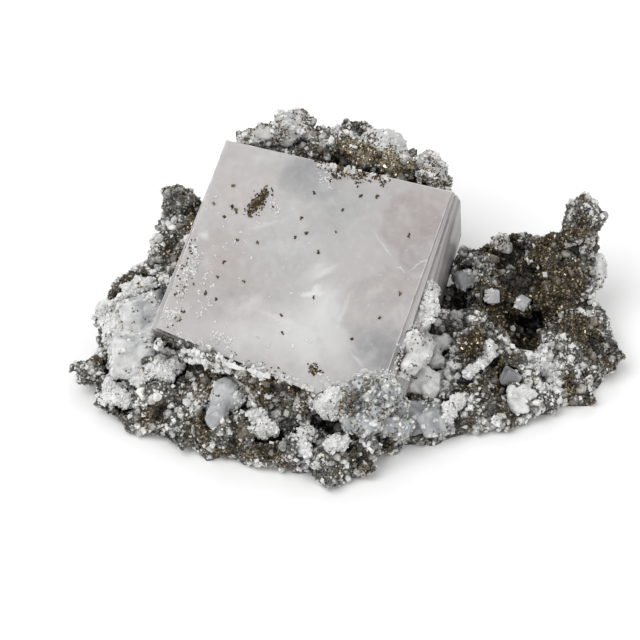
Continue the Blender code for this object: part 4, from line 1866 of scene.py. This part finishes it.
class CubeFace:
    """The display face of the cube: its frame and where it is seen.

    Attributes:
        MIDDLE, FOOT: display places near its middle and along its foot edge.
        LEAST_EDGE: the least height of an edge that counts as its right edge.
        MOST_DEPTH: how far from the face such an edge may lie.
    """

    MIDDLE = (-2.0, 16.0)
    FOOT = ((-34.0, 8.5), (0.0, -4.5))
    LEAST_EDGE = 15 * MM
    MOST_DEPTH = 1 * MM

    def __init__(self, mesh: Mesh, eye: Viewpoint) -> None:
        """Finds the face.

        Args:
            mesh: the cube's mesh, as read from the frame.
            eye: the viewpoint that the face is turned to.
        """
        self.eye = eye
        self.tree = tree_of([mesh])
        self.centre, self.normal = eye.touch(self.tree, *self.MIDDLE)
        left, right = (eye.touch(self.tree, *place)[0] for place in self.FOOT)
        side = (right - left).normalized()
        above = self.normal.cross(side)
        self.matrix = Matrix((side, above, self.normal)).transposed()
        self.turn = self.matrix.to_euler()
        flat = self.matrix.inverted() @ Vector((1, 0, 0))
        self.tilt = math.atan2(flat.y, flat.x)
        self.edge_turn = 0.0

    def find_edge(self, form: bmesh.types.BMesh) -> None:
        """Finds how far the right edge leans in the face's own frame."""
        leans = []
        for edge in form.edges:
            low, high = (
                self.matrix.inverted() @ (vertex.co - self.centre)
                for vertex in edge.verts
            )
            if low.y > high.y:
                low, high = high, low
            step = high - low
            on_face = low.x > 0 and abs(low.z) < self.MOST_DEPTH
            if step.y > self.LEAST_EDGE and on_face:
                leans.append(math.atan2(-step.x, step.y))
        self.edge_turn = sum(leans) / max(1, len(leans))

    def local(self, across: float, up: float) -> Vector:
        """A display place on the face, in the face's own frame.

        Args:
            across: millimetres to the right.
            up: millimetres upwards.

        Returns:
            The place, with x along the foot edge and z out of the face.
        """
        direction = self.eye.sight(across, up)
        depth = (self.centre - self.eye.eye).dot(self.normal)
        point = self.eye.eye + direction * (depth / direction.dot(self.normal))
        return self.matrix.inverted() @ (point - self.centre)

    def on_cube(self, across: float, up: float) -> tuple[Vector, Vector] | None:
        """The point of the cube that lies under a display place.

        Args:
            across: millimetres to the right.
            up: millimetres upwards.

        Returns:
            The point and the surface's normal, or None beside the cube.
        """
        point, normal, _, _ = self.tree.ray_cast(
            self.eye.eye, self.eye.sight(across, up)
        )
        return None if point is None else (point, normal)


class CubeSide(IntEnum):
    """The cube's materials, by their place on its mesh."""

    FACE = 0
    STRIATED = 1
    EDGE = 2
    BEVELLED = 3


@dataclass
class MainCube:
    """The large milky cube.

    Attributes:
        coplanar: the greatest angle between triangles of one face.
        crease, least_face: the least angle of an edge that is rounded, and the
            least area of the faces beside it.
        face_lean: how closely a side faces as the display face does where it
            shows the zones, as the cosine of the angle between them.
        bevel_lean: the same where it is one of the sloping growth faces.
    """

    edge_round: float = 0.16 * MM
    round_steps: int = 2
    coplanar: float = math.radians(1)
    crease: float = math.radians(18)
    least_face: float = 12 * MM**2
    face_lean: float = 0.95
    bevel_lean: float = 0.3

    def _side(self, normal: Vector, face: CubeFace) -> CubeSide:
        """Chooses a side's material.

        Args:
            normal: which way the side faces.
            face: the display face.

        Returns:
            The material's place.
        """
        lean = normal.dot(face.normal)
        if lean > self.face_lean:
            return CubeSide.FACE
        if lean > self.bevel_lean:
            return CubeSide.BEVELLED
        return CubeSide.STRIATED

    def build(self, eye: Viewpoint) -> tuple[Object, CubeFace]:
        """Makes the cube with softened edges.

        Args:
            eye: the viewpoint that its zones are seen from.

        Returns:
            The cube and its display face.
        """
        piece = merged_copy(CUBE_NODE, "cube_crystal")
        face = CubeFace(piece.data, eye)
        form = bmesh.new()
        form.from_mesh(piece.data)
        bmesh.ops.dissolve_limit(
            form, angle_limit=self.coplanar, verts=form.verts, edges=form.edges
        )
        face.find_edge(form)
        for side in form.faces:
            side.material_index = self._side(side.normal, face)
        weight = form.edges.layers.float.new("bevel_weight_edge")
        for edge in form.edges:
            broad = all(side.calc_area() > self.least_face for side in edge.link_faces)
            if broad and edge.calc_face_angle(0) > self.crease:
                edge[weight] = 1
        form.to_mesh(piece.data)
        form.free()
        # The sloping growth faces, turned more towards the eye, get a lighter copy of the
        # striated finish than the sides: painted light and shade by which way a face
        # turns.
        bevelled = StriatedFinish(
            "bevelled_fluorite", dusk=(0.36, 0.33, 0.33), light=(0.54, 0.515, 0.515)
        )
        finishes = {
            CubeSide.FACE: CubeFinish().material(face),
            CubeSide.STRIATED: StriatedFinish().material(face),
            CubeSide.EDGE: CubeEdgeFinish().material(),
            CubeSide.BEVELLED: bevelled.material(face),
        }
        for side in CubeSide:
            piece.data.materials.append(finishes[side])
        bevel = piece.modifiers.new("edges", "BEVEL")
        bevel.width = self.edge_round
        bevel.segments = self.round_steps
        bevel.limit_method = "WEIGHT"
        bevel.use_clamp_overlap = False
        bevel.material = CubeSide.EDGE
        bake(piece)
        return piece, face


@dataclass(frozen=True)
class Trail:
    """Crumbs on the cube, along a line between two display places.

    Attributes:
        start, end: the line's ends, in millimetres across and up.
        stray: how far the crumbs stray from the line.
        count: how many there are.
        clump: how many of them lie together.
    """

    start: tuple[float, float]
    end: tuple[float, float]
    stray: float
    count: int
    clump: int = 1


# Single pyrite specks on the cube, in millimetres across and up.
SPECKS = (
    (-22.2, 23.0),
    (-26.0, 15.6),
    (-26.4, 11.2),
    (-20.8, 14.6),
    (-14.8, 29.6),
    (-9.4, 27.4),
    (-10.6, 23.6),
    (-8.2, 24.4),
    (-6.8, 32.4),
    (-6.0, 20.6),
    (-6.8, 11.6),
    (-13.2, 4.4),
    (-1.0, 29.0),
    (-24.6, 27.6),
    (-26.8, 30.2),
    (-24.8, 18.6),
    (-28.4, 12.4),
    (-13.4, 8.0),
    (-34.4, 12.2),
    (2.6, 31.8),
    (5.8, 31.6),
    (12.2, 23.8),
    (6.4, 7.4),
    (10.4, 12.2),
    (0.8, 3.2),
    (-22.8, 33.8),
    (-18.0, 22.4),
    (-2.4, 24.6),
)

# Rows and clusters of them.
PYRITE_TRAILS = (
    Trail((-16.0, 33.0), (-20.0, 28.4), 0.5, 210),
    Trail((-17.4, 31.0), (-18.8, 29.4), 0.7, 80),
    Trail((-23.4, 29.8), (-22.2, 28.6), 0.22, 26),
    Trail((-7.4, -2.2), (-6.0, -3.4), 0.4, 60),
    Trail((10.6, 0.4), (10.0, -2.6), 0.35, 40),
    Trail((-6.0, 38.0), (7.2, 35.6), 0.6, 420, 6),
    Trail((-4.0, 36.4), (6.0, 34.6), 0.7, 90, 5),
    Trail((-31.2, 22.0), (-33.8, 12.0), 0.9, 40),
    Trail((-33.0, 9.0), (-36.0, 4.6), 0.6, 16),
    Trail((-24.0, 0.6), (-12.0, -4.4), 0.4, 24),
)

# White crumbs, thickest along the left and the foot edge.
WHITE_TRAILS = (
    Trail((-30.4, 23.0), (-31.4, 16.0), 0.5, 140, 7),
    Trail((-31.4, 18.0), (-33.8, 12.6), 0.6, 170, 8),
    Trail((-33.6, 11.0), (-36.0, 5.8), 0.6, 140, 8),
    Trail((-29.6, 20.0), (-29.0, 6.0), 1.6, 110, 5),
    Trail((-28.2, 3.6), (-23.4, 2.6), 0.6, 110, 9),
    Trail((-4.8, 35.4), (-3.4, 34.4), 0.5, 60, 6),
    Trail((-16.0, 31.0), (-14.6, 29.4), 0.6, 50, 5),
    Trail((-24.0, 31.0), (-21.0, 16.0), 2.6, 60, 3),
    Trail((-36.4, 4.6), (-29.0, 2.0), 0.4, 60, 5),
    Trail((-6.4, -3.4), (-3.4, -6.4), 0.5, 60, 6),
    Trail((-3.6, -7.0), (1.6, -4.6), 0.6, 130, 8),
    Trail((1.6, -4.4), (8.2, -4.6), 0.8, 160, 8),
    Trail((11.6, 2.6), (9.6, -3.6), 0.5, 80, 6),
    Trail((-4.0, -8.0), (10.0, -5.0), 1.2, 160, 8),
    Trail((17.6, 16.0), (13.4, 4.0), 0.5, 80, 6),
    Trail((-6.0, 37.4), (7.2, 35.4), 0.5, 90, 6),
    Trail((-22.0, 10.0), (-2.0, 4.0), 4.0, 40, 3),
)

# Larger crystals where the growths on the cube begin.
BORDER_TRAILS = (
    Trail((17.8, 14.2), (16.2, 6.0), 0.6, 90, 6),
    Trail((14.8, 6.4), (11.2, -3.6), 0.7, 120, 6),
    Trail((-3.4, -7.2), (1.4, -5.2), 0.5, 60, 5),
    Trail((1.4, -4.8), (8.8, -4.6), 0.7, 110, 6),
    Trail((-24.0, 0.0), (-6.0, -7.6), 0.3, 70, 3),
    Trail((-6.2, 38.2), (7.4, 36.0), 0.3, 60, 4),
)

CUBE_SPECKS = Scatter(
    "cube_pyrite_specks",
    GrainShape.CUBE,
    "outward",
    radii=(0.12 * MM, 0.27 * MM),
    lean=1.0,
    tones=(0.0, 0.9),
    seed=51,
)
CUBE_CRUMBS = Scatter(
    "cube_white_crumbs",
    GrainShape.CHIP,
    "outward",
    radii=(0.09 * MM, 0.30 * MM),
    lean=1.5,
    tones=(0.5, 1.0),
    seed=52,
)
CUBE_BORDER = Scatter(
    "cube_border_crystals",
    GrainShape.RHOMB,
    "outward",
    radii=(0.22 * MM, 0.62 * MM),
    lean=1.5,
    tones=(0.4, 1.0),
    seed=53,
)


@dataclass(frozen=True)
class CubeCrumbs:
    """Pyrite and white crumbs that grew on the cube's faces."""

    sunk: float = 0.05 * MM
    per_speck: int = 5
    speck_stray: float = 0.14
    clump_size: tuple[float, float] = (0.12, 0.45)

    def _ground(
        self, name: str, trails: Iterable[Trail], face: CubeFace, seed: int
    ) -> Object:
        """Marks where the crumbs stand.

        Args:
            name: the object's name.
            trails: the lines that they follow.
            face: the cube's display face.
            seed: what the random numbers start from.

        Returns:
            An object with one point for each crumb.
        """
        chance = random.Random(seed)
        points, outward = [], []
        for trail in trails:
            for index in range(trail.count):
                if index % trail.clump == 0:
                    share = chance.random()
                    middle = [
                        low + (high - low) * share + chance.gauss(0, trail.stray)
                        for low, high in zip(trail.start, trail.end)
                    ]
                    spread = chance.uniform(*self.clump_size)
                across, up = middle
                if trail.clump > 1:
                    across += chance.gauss(0, spread)
                    up += chance.gauss(0, spread)
                if (found := face.on_cube(across, up)) is not None:
                    points.append(found[0] - found[1] * self.sunk)
                    outward.extend(found[1])
        mesh = bpy.data.meshes.new(name)
        mesh.from_pydata(points, [], [])
        layer = mesh.attributes.new("outward", "FLOAT_VECTOR", "POINT")
        layer.data.foreach_set("vector", outward)
        return add_object(name, mesh)

    def build(self, face: CubeFace) -> list[Object]:
        """Makes the crumbs.

        Args:
            face: the cube's display face.

        Returns:
            The pyrite crumbs, the white ones and the larger white crystals.
        """
        maker = GrainMaker()
        specks = [Trail(at, at, self.speck_stray, self.per_speck) for at in SPECKS]
        clear = DolomiteFinish("border_crystal", transmission=0.15)
        rows = (
            (CUBE_SPECKS, [*PYRITE_TRAILS, *specks], PyriteFinish()),
            (CUBE_CRUMBS, WHITE_TRAILS, DolomiteFinish("white_crumb")),
            (CUBE_BORDER, BORDER_TRAILS, clear),
        )
        made = []
        for scatter, trails, finish in rows:
            ground = self._ground(f"{scatter.name}_places", trails, face, scatter.seed)
            grains = maker.collection(scatter.shape)
            made.append(scatter.build(ground, grains, finish.material()))
            bpy.data.objects.remove(ground)
        return made


@dataclass(frozen=True)
class FootFlakes:
    """Thin white flakes that lean under the cube's foot edge.

    Attributes:
        spans: each flake's ends, as display places in millimetres.
        width: how wide a flake is at its middle.
        thickness: how thick it is.
        steps: how many pieces its outline has along each side.
        taper: how quickly it widens from its ends, 0 for at once.
        raggedness: how uneven its outline is.
        free_percent: how much of its length lies clear of the ground under it.
        carriers: the pieces that it may lie on.
    """

    spans: tuple[tuple[tuple[float, float], tuple[float, float]], ...] = (
        ((-25.4, -1.4), (-20.8, -3.0)),
        ((-20.4, -2.8), (-15.4, -4.6)),
        ((-14.2, -5.2), (-11.4, -6.2)),
    )
    width: float = 0.95 * MM
    thickness: float = 0.22 * MM
    steps: int = 14
    taper: float = 0.4
    raggedness: float = 0.5
    free_percent: float = 65
    carriers: tuple[str, ...] = (
        "matrix_bed",
        "grey_chips_front",
        "grey_beads",
        "dolomite_rhombs",
        "cube_crystal",
    )

    def _seat(
        self,
        ground: BVHTree,
        left: tuple[float, float],
        right: tuple[float, float],
        eye: Viewpoint,
    ) -> tuple[Vector, Vector]:
        """Lays a flake's middle line on the ground.

        Args:
            ground: the surface that carries it.
            left, right: its ends, as display places in millimetres.
            eye: where it is seen from.

        Returns:
            The line's ends.
        """
        shares = np.linspace(0, 1, self.steps)
        places = np.outer(1 - shares, left) + np.outer(shares, right)
        touched = [eye.touch(ground, *place)[0] for place in places]
        start, end = touched[0], touched[-1]
        rise = np.array(
            [
                (point - start.lerp(end, share)).dot(eye.toward)
                for point, share in zip(touched, shares)
            ]
        )
        slope, level = np.polyfit(shares, rise, 1)
        level += np.percentile(rise - slope * shares - level, self.free_percent)
        return start + eye.toward * level, end + eye.toward * (level + slope)

    def _outline(
        self, start: Vector, end: Vector, across: Vector, index: int
    ) -> list[Vector]:
        """Draws a flake's ragged outline.

        Args:
            start, end: the ends of its middle line.
            across: the direction of its width.
            index: which flake it is.

        Returns:
            The outline's corners, along one side and back along the other.
        """
        outline = []
        for side in (1, -1):
            for step in range(self.steps):
                share = (step + 0.5) / self.steps
                share = share if side > 0 else 1 - share
                shift = noise.noise(Vector((share * 6, side * 4.0, index * 3.1)))
                half = self.width * 0.5 * math.sin(math.pi * share) ** self.taper
                ragged = 1 + self.raggedness * shift
                place = start.lerp(end, share) + across * side * half * ragged
                outline.append(place)
        return outline

    def build(self, eye: Viewpoint, pieces: Iterable[Object]) -> Object:
        """Makes the flakes.

        Args:
            eye: where they are seen from.
            pieces: the cube and the matrix's pieces, among them the carriers.

        Returns:
            The flakes, as one piece.
        """
        ground = tree_of(piece.data for piece in pieces if piece.name in self.carriers)
        form = bmesh.new()
        for index, (left, right) in enumerate(self.spans):
            start, end = self._seat(ground, left, right, eye)
            along = (end - start).normalized()
            across = eye.toward.cross(along).normalized()
            outline = self._outline(start, end, across, index)
            face = form.faces.new([form.verts.new(corner) for corner in outline])
            grown = bmesh.ops.extrude_face_region(form, geom=[face])
            raised = [
                item for item in grown["geom"] if isinstance(item, bmesh.types.BMVert)
            ]
            lift = along.cross(across) * self.thickness
            bmesh.ops.translate(form, verts=raised, vec=lift)
        bmesh.ops.recalc_face_normals(form, faces=form.faces)
        mesh = bpy.data.meshes.new("foot_flakes")
        form.to_mesh(mesh)
        form.free()
        mesh.materials.append(DolomiteFinish("white_flake", specks=0.2).material())
        return add_object("foot_flakes", mesh)


class Fluorite(Enum):
    """The kinds of fluorite among the small crystals."""

    BLUE = SmallFluoriteFinish(
        "blue_grey_fluorite", (0.54, 0.56, 0.575), (0.96, 0.96, 0.95), 0.62, 0.35
    )
    WHITE = SmallFluoriteFinish(
        "milky_clear_fluorite", (0.64, 0.66, 0.675), (0.93, 0.93, 0.93), 0.5, 0.5
    )
    CLEAR = SmallFluoriteFinish(
        "clear_fluorite", (0.80, 0.80, 0.80), (0.97, 0.97, 0.97), 0.6, 0.5
    )
    SMOKE = SmallFluoriteFinish(
        "smoky_fluorite", (0.36, 0.37, 0.385), (0.74, 0.75, 0.76)
    )


# Which kind each small crystal is.
SMALL_CRYSTALS = {
    "fluorite_left": Fluorite.BLUE,
    "fluorite_front": Fluorite.WHITE,
    "fluorite_grey": Fluorite.SMOKE,
    "fluorite_back": Fluorite.CLEAR,
    "fluorite_hollow_left": Fluorite.WHITE,
    "fluorite_hollow_right": Fluorite.WHITE,
    "fluorite_by_cube": Fluorite.WHITE,
    "fluorite_right": Fluorite.SMOKE,
}


@dataclass
class SmallFluorites:
    """The small fluorite crystals round the cube.

    Attributes:
        edge_round, round_steps, crease: how the edges of crisp ones are rounded.
        voxel, rounding, waves: how the faces of the others are made uneven.
        shift_step: how far apart in the noise two of them lie.
        crisp: those that keep their plane faces.
    """

    edge_round: float = 0.2 * MM
    round_steps: int = 3
    crease: float = math.radians(25)
    voxel: float = 0.24 * MM
    rounding: int = 4
    waves: Relief = Relief(0.42 * MM, 2.8 * MM, 4, 0.1)
    shift_step: float = 2.3
    crisp: tuple[str, ...] = (
        "fluorite_hollow_left",
        "fluorite_hollow_right",
        "fluorite_right",
    )

    def _soften(self, piece: Object, shift: float) -> None:
        """Rounds a crystal and gives its faces an uneven skin."""
        remeshed(piece, self.voxel)
        mesh = piece.data
        put_points(mesh, relaxed(mesh, points_of(mesh), self.rounding))
        points, normals = points_of(mesh), normals_of(mesh)
        lift = self.waves.lift(points, shift)
        put_points(mesh, points + normals * lift[:, None])

    def build(self) -> list[tuple[Object, str]]:
        """Makes each crystal.

        Returns:
            The crystals, each with the name of its solid.
        """
        dressed = {kind: kind.value.material() for kind in Fluorite}
        pieces = []
        for index, (node, kind) in enumerate(SMALL_CRYSTALS.items()):
            piece = merged_copy(node, f"{node}_crystal")
            if node in self.crisp:
                bevel = piece.modifiers.new("edges", "BEVEL")
                bevel.width = self.edge_round
                bevel.segments = self.round_steps
                bevel.limit_method = "ANGLE"
                bevel.angle_limit = self.crease
                bake(piece)
            else:
                self._soften(piece, index * self.shift_step)
            shade_smooth(piece.data)
            piece.data.materials.append(dressed[kind])
            pieces.append((piece, node))
        return pieces


class Habit(Enum):
    """How a white growth looks."""

    SMOOTH = "smooth"
    SUGARY = "sugary"
    PEARLY = "pearly"
    DRUSY = "drusy"


# Every other growth is sugary.
HABITS = {
    "calcite_back_left": Habit.PEARLY,
    "calcite_back_right": Habit.PEARLY,
    "calcite_disc": Habit.PEARLY,
    CORNER_NODE: Habit.DRUSY,
    "calcite_beside_cube": Habit.SMOOTH,
    "calcite_low_beside": Habit.SMOOTH,
    "calcite_right_of_cube": Habit.SMOOTH,
    "calcite_heart": Habit.SMOOTH,
    "calcite_right_end": Habit.SMOOTH,
}

# The growths that spread over the cube, and so close round it.
OVER_CUBE = (
    "calcite_beside_cube",
    "calcite_cube_side",
    "calcite_low_beside",
    "calcite_corner",
    CORNER_NODE,
)

# Where pyrite is strewn on the growths.
GROWTH_PATCHES = (
    Patch(31.4, 22.8, 1.8, 0.9),
    Patch(-8.4, 46.6, 2.6, 1.0),
    Patch(-13.6, 45.2, 2.8, 0.9),
    Patch(-20.6, 43.4, 2.6, 1.0),
    Patch(-9.4, 43.4, 2.4, 0.8),
    Patch(16.4, 36.0, 3.6, 1.3),
    Patch(4.4, 42.2, 3.0, 1.4),
    Patch(8.6, 40.0, 2.6, 1.2),
    Patch(19.6, 34.0, 2.8, 1.1),
    Patch(14.4, 3.4, 2.4, 0.35),
    Patch(50.4, 14.0, 1.4, 0.5),
    Patch(-0.6, -9.8, 3.4, 1.8),
    Patch(6.6, -11.6, 2.6, 0.8),
    Patch(30.8, 22.4, 1.2, 0.9),
)


@dataclass(frozen=True)
class Crust:
    """How thickly small grains stand on a piece, each from 0 to 1.

    Attributes:
        sugar: white sugar.
        brass: pyrite.
        chips: the chips of the corner.
    """

    sugar: float
    brass: float
    chips: float = 0.0


# The layers of relief of each habit.
RELIEFS = {
    Habit.SMOOTH: (
        Relief(0.6 * MM, 3.0 * MM, 3),
        Relief(0.35 * MM, 1.8 * MM, level=0.5),
        Relief(0.14 * MM, 0.9 * MM, 3),
    ),
    Habit.DRUSY: (
        Relief(1.7 * MM, 3.4 * MM, level=0.62),
        Relief(1.1 * MM, 4.0 * MM, 4),
    ),
    Habit.PEARLY: (
        Relief(0.9 * MM, 2.2 * MM, level=0.55),
        Relief(0.5 * MM, 2.0 * MM, 4),
    ),
    Habit.SUGARY: (
        Relief(0.5 * MM, 2.0 * MM, 4),
        Relief(0.35 * MM, 0.9 * MM, level=0.6),
    ),
}

# What stands on each habit and, under None, on the small crystals.
CRUSTS = {
    Habit.SUGARY: Crust(1.0, 0.4),
    Habit.SMOOTH: Crust(0.3, 0.15),
    Habit.PEARLY: Crust(0.8, 0.9),
    Habit.DRUSY: Crust(0.15, 0.5, 0.55),
    None: Crust(0.6, 0.12),
}

GROWTH_FINISHES = {
    Habit.SMOOTH: DolomiteFinish(
        "smooth_calcite", grain=1.6 * MM, relief=0.15, transmission=0.1
    ),
    Habit.SUGARY: DolomiteFinish("sugary_calcite", specks=0.7),
    Habit.PEARLY: DolomiteFinish(
        "pearly_calcite",
        tones=(
            (0.2, (0.24, 0.235, 0.22)),
            (0.45, (0.50, 0.50, 0.485)),
            (0.8, (0.86, 0.86, 0.85)),
        ),
        specks=0.9,
        transmission=0.25,
    ),
    Habit.DRUSY: DolomiteFinish(
        "drusy_calcite",
        tones=(
            (0.3, (0.20, 0.215, 0.23)),
            (0.48, (0.42, 0.44, 0.46)),
            (0.75, (0.84, 0.85, 0.86)),
        ),
        specks=0.6,
        transmission=0.2,
    ),
}

CALCITE_SUGAR = Scatter(
    "calcite_sugar",
    GrainShape.RHOMB,
    "sugar",
    radii=(0.16 * MM, 0.5 * MM),
    lean=1.0,
    tones=(0.2, 1.0),
    seed=61,
    spacing=0.4 * MM,
    density=6.0e6,
)
GROWTH_PYRITE = Scatter(
    "growth_pyrite",
    GrainShape.CUBE,
    "brass",
    radii=(0.08 * MM, 0.24 * MM),
    lean=1.0,
    tones=(0.0, 0.95),
    seed=62,
    spacing=0.22 * MM,
    density=14.0e6,
)
CORNER_CHIPS = Scatter(
    "corner_chips",
    GrainShape.CHIP,
    "corner",
    radii=(0.22 * MM, 0.66 * MM),
    lean=1.5,
    tones=(0.3, 1.0),
    seed=63,
    spacing=0.5 * MM,
    density=5.0e6,
)


@dataclass
class CalciteGrowths:
    """The white calcite growths, each finer than its solid.

    Attributes:
        over_cube_swell: how much fuller those that spread over the cube are.
        shift_step: how far apart in the noise two growths lie.
        patchy, brassy: where sugar and pyrite stand by chance.
        chip_gaps: how much thinner the chips stand where sugar does.
        rust: the most pyrite that stains the grains round it.
    """

    voxel: float = 0.26 * MM
    rounding: int = 3
    over_cube_swell: float = 0.4 * MM
    shift_step: float = 3.7
    patchy: Clouds = Clouds(2.4 * MM, 3, 91.0, 0.1, 0.4)
    brassy: Clouds = Clouds(2.2 * MM, 3, 77.0, 0.12, 0.4)
    chip_gaps: float = 0.5
    rust: float = 0.8
    pieces: dict[str, Object] = field(default_factory=dict)

    def _shape(self, mesh: Mesh, habit: Habit, swell: float, shift: float) -> None:
        """Gives a growth the relief of its habit.

        Args:
            mesh: the growth's mesh.
            habit: how it looks.
            swell: how much fuller than its solid it is.
            shift: where in the noise it lies.
        """
        put_points(mesh, relaxed(mesh, points_of(mesh), self.rounding))
        points, normals = points_of(mesh), normals_of(mesh)
        lift = sum(layer.lift(points, shift) for layer in RELIEFS[habit])
        put_points(mesh, points + normals * (lift + swell)[:, None])

    def build(self) -> list[tuple[Object, str]]:
        """Makes each growth.

        Returns:
            The growths, each with the name of its solid.
        """
        dressed = {habit: made.material() for habit, made in GROWTH_FINISHES.items()}
        families = ("calcite_", "druse_")
        nodes = [name for name in FRAME["nodes"] if name.startswith(families)]
        for index, node in enumerate(sorted(nodes)):
            habit = HABITS.get(node, Habit.SUGARY)
            piece = merged_copy(node, f"{node}_growth")
            remeshed(piece, self.voxel)
            swell = self.over_cube_swell if node in OVER_CUBE else 0.0
            self._shape(piece.data, habit, swell, index * self.shift_step)
            shade_smooth(piece.data)
            piece.data.materials.append(dressed[habit])
            self.pieces[node] = piece
        return [(piece, node) for node, piece in self.pieces.items()]

    def crust(self, crystals: Sequence[Object], eye: Viewpoint) -> list[Object]:
        """Strews sugar and pyrite over the growths and the small crystals.

        Args:
            crystals: the small crystals, which carry a little pyrite.
            eye: where the patches are seen from.

        Returns:
            The grains.
        """
        crusts = {
            piece: CRUSTS[HABITS.get(node, Habit.SUGARY)]
            for node, piece in self.pieces.items()
        }
        crusts.update(dict.fromkeys(crystals, CRUSTS[None]))
        ground = joined_copy(list(crusts), "growth_ground")
        points = points_of(ground.data)
        counts = [len(piece.data.vertices) for piece in crusts]
        rows = [(crust.sugar, crust.brass, crust.chips) for crust in crusts.values()]
        thick, brass, corner = np.repeat(rows, counts, axis=0).T.copy()
        patchy = self.patchy.share(points)
        sugar = np.where(thick < 1, thick * patchy, 1)
        brass *= self.brassy.share(points)
        surface = tree_of([ground.data])
        for patch in GROWTH_PATCHES:
            middle, _ = eye.touch(surface, patch.across, patch.up)
            distance = np.linalg.norm(points - np.array(middle), axis=1)
            share = patch.strength * (1 - distance / (patch.radius * MM))
            brass = np.maximum(brass, share)
        put_attribute(ground.data, "sugar", sugar)
        put_attribute(ground.data, "brass", np.clip(brass, 0, 1))
        put_attribute(ground.data, "corner", corner * (1 - self.chip_gaps * patchy))
        put_attribute(ground.data, PYRITE.value, np.clip(brass, 0, self.rust))
        maker = GrainMaker()
        rows = (
            (CALCITE_SUGAR, DolomiteFinish("calcite_sugar")),
            (GROWTH_PYRITE, PyriteFinish()),
            (CORNER_CHIPS, DruseFinish("corner_druse", foot_light=0.4)),
        )
        made = [
            scatter.build(ground, maker.collection(scatter.shape), finish.material())
            for scatter, finish in rows
        ]
        bpy.data.objects.remove(ground)
        return made


# --- The studio --------------------------------------------------------------


@dataclass(frozen=True)
class Lamp:
    """A soft square light that points at the specimen, its power in watts."""

    name: str
    place: Triple
    size: float
    power: float

    def hang(self, aim: Vector) -> None:
        """Adds the light, turned to the aim."""
        data = bpy.data.lights.new(self.name, "AREA")
        data.shape = "SQUARE"
        data.size = self.size
        data.energy = self.power
        lamp = bpy.data.objects.new(self.name, data)
        lamp.location = self.place
        lamp.rotation_mode = "QUATERNION"
        turn = (aim - Vector(self.place)).to_track_quat("-Z", "Y")
        lamp.rotation_quaternion = turn
        bpy.context.scene.collection.objects.link(lamp)


@dataclass
class Studio:
    """A plain white floor and soft light from all round."""

    floor_size: float = 6.0
    floor_tones: Stops = ((0, (0.93, 0.93, 0.93)), (1, (0.96, 0.96, 0.96)))
    sky: float = 0.62
    lamps: tuple[Lamp, ...] = (
        Lamp("key_light", (-0.35, -0.25, 0.75), 0.6, 4.2),
        Lamp("fill_light", (0.6, -0.5, 0.45), 0.5, 0.8),
        Lamp("back_light", (0.1, 0.7, 0.6), 0.5, 1.4),
    )

    def _floor(self) -> None:
        """Adds the floor, just under the specimen's foot."""
        form = bmesh.new()
        bmesh.ops.create_grid(
            form, x_segments=1, y_segments=1, size=self.floor_size / 2
        )
        mesh = bpy.data.meshes.new("floor")
        form.to_mesh(mesh)
        form.free()
        floor = add_object("floor", mesh)
        bench = Bench("white_floor")
        grain = bench.ramp(bench.clouds(0.4, 2), self.floor_tones)
        mesh.materials.append(bench.done(Base_Color=grain, Roughness=0.9))
        floor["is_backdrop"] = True

    def build(self, eye: Viewpoint) -> None:
        """Sets up the floor, lights, sky and camera."""
        self._floor()
        for lamp in self.lamps:
            lamp.hang(Vector(eye.aim))
        world = bpy.data.worlds.new("white_sky")
        world.use_nodes = True
        background = world.node_tree.nodes["Background"]
        background.inputs["Color"].default_value = (1, 1, 1, 1)
        background.inputs["Strength"].default_value = self.sky
        bpy.context.scene.world = world
        bpy.context.scene.view_settings.view_transform = "Standard"
        eye.add_camera()


def attach(piece: Object, slot: Slot, *nodes: str) -> None:
    """Fixes a finished piece to the specimen.

    Args:
        piece: the piece.
        slot: the slot that its finish belongs to; not used.
        nodes: the solids that it stands for.
    """
    contain(piece)
    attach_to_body(piece, BODY)
    if nodes:
        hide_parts(*nodes)
    LOG.info("%s: %d triangles", piece.name, triangles(piece))


def main() -> None:
    """Builds every piece in order."""
    logging.basicConfig(level=logging.INFO, format="%(message)s")
    FRAME.update(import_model())
    SOLID_BOX.extend(list(corner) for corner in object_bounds())
    eye = Viewpoint()

    matrix = DruseMatrix()
    bed = matrix.build(eye)
    attach(bed, Slot.MATRIX, MATRIX_NODE)
    for grains in matrix.pieces[1:]:
        attach(grains, Slot.MATRIX)

    cube, face = MainCube().build(eye)
    attach(cube, Slot.LILAC, CUBE_NODE)
    pyrite_specks, *white_crumbs = CubeCrumbs().build(face)
    attach(pyrite_specks, Slot.MATRIX)
    for crumbs in white_crumbs:
        attach(crumbs, Slot.CALCITE)
    flakes = FootFlakes().build(eye, [cube, *matrix.pieces])
    attach(flakes, Slot.CALCITE)

    crystals = SmallFluorites().build()
    for piece, node in crystals:
        attach(piece, Slot.GREY, node)
    growths = CalciteGrowths()
    for piece, node in growths.build():
        attach(piece, Slot.CALCITE, node)
    sugar, flecks, chips = growths.crust([piece for piece, _ in crystals], eye)
    attach(sugar, Slot.CALCITE)
    attach(flecks, Slot.MATRIX)
    attach(chips, Slot.CALCITE)

    Studio().build(eye)


if __name__ == "__main__":
    main()
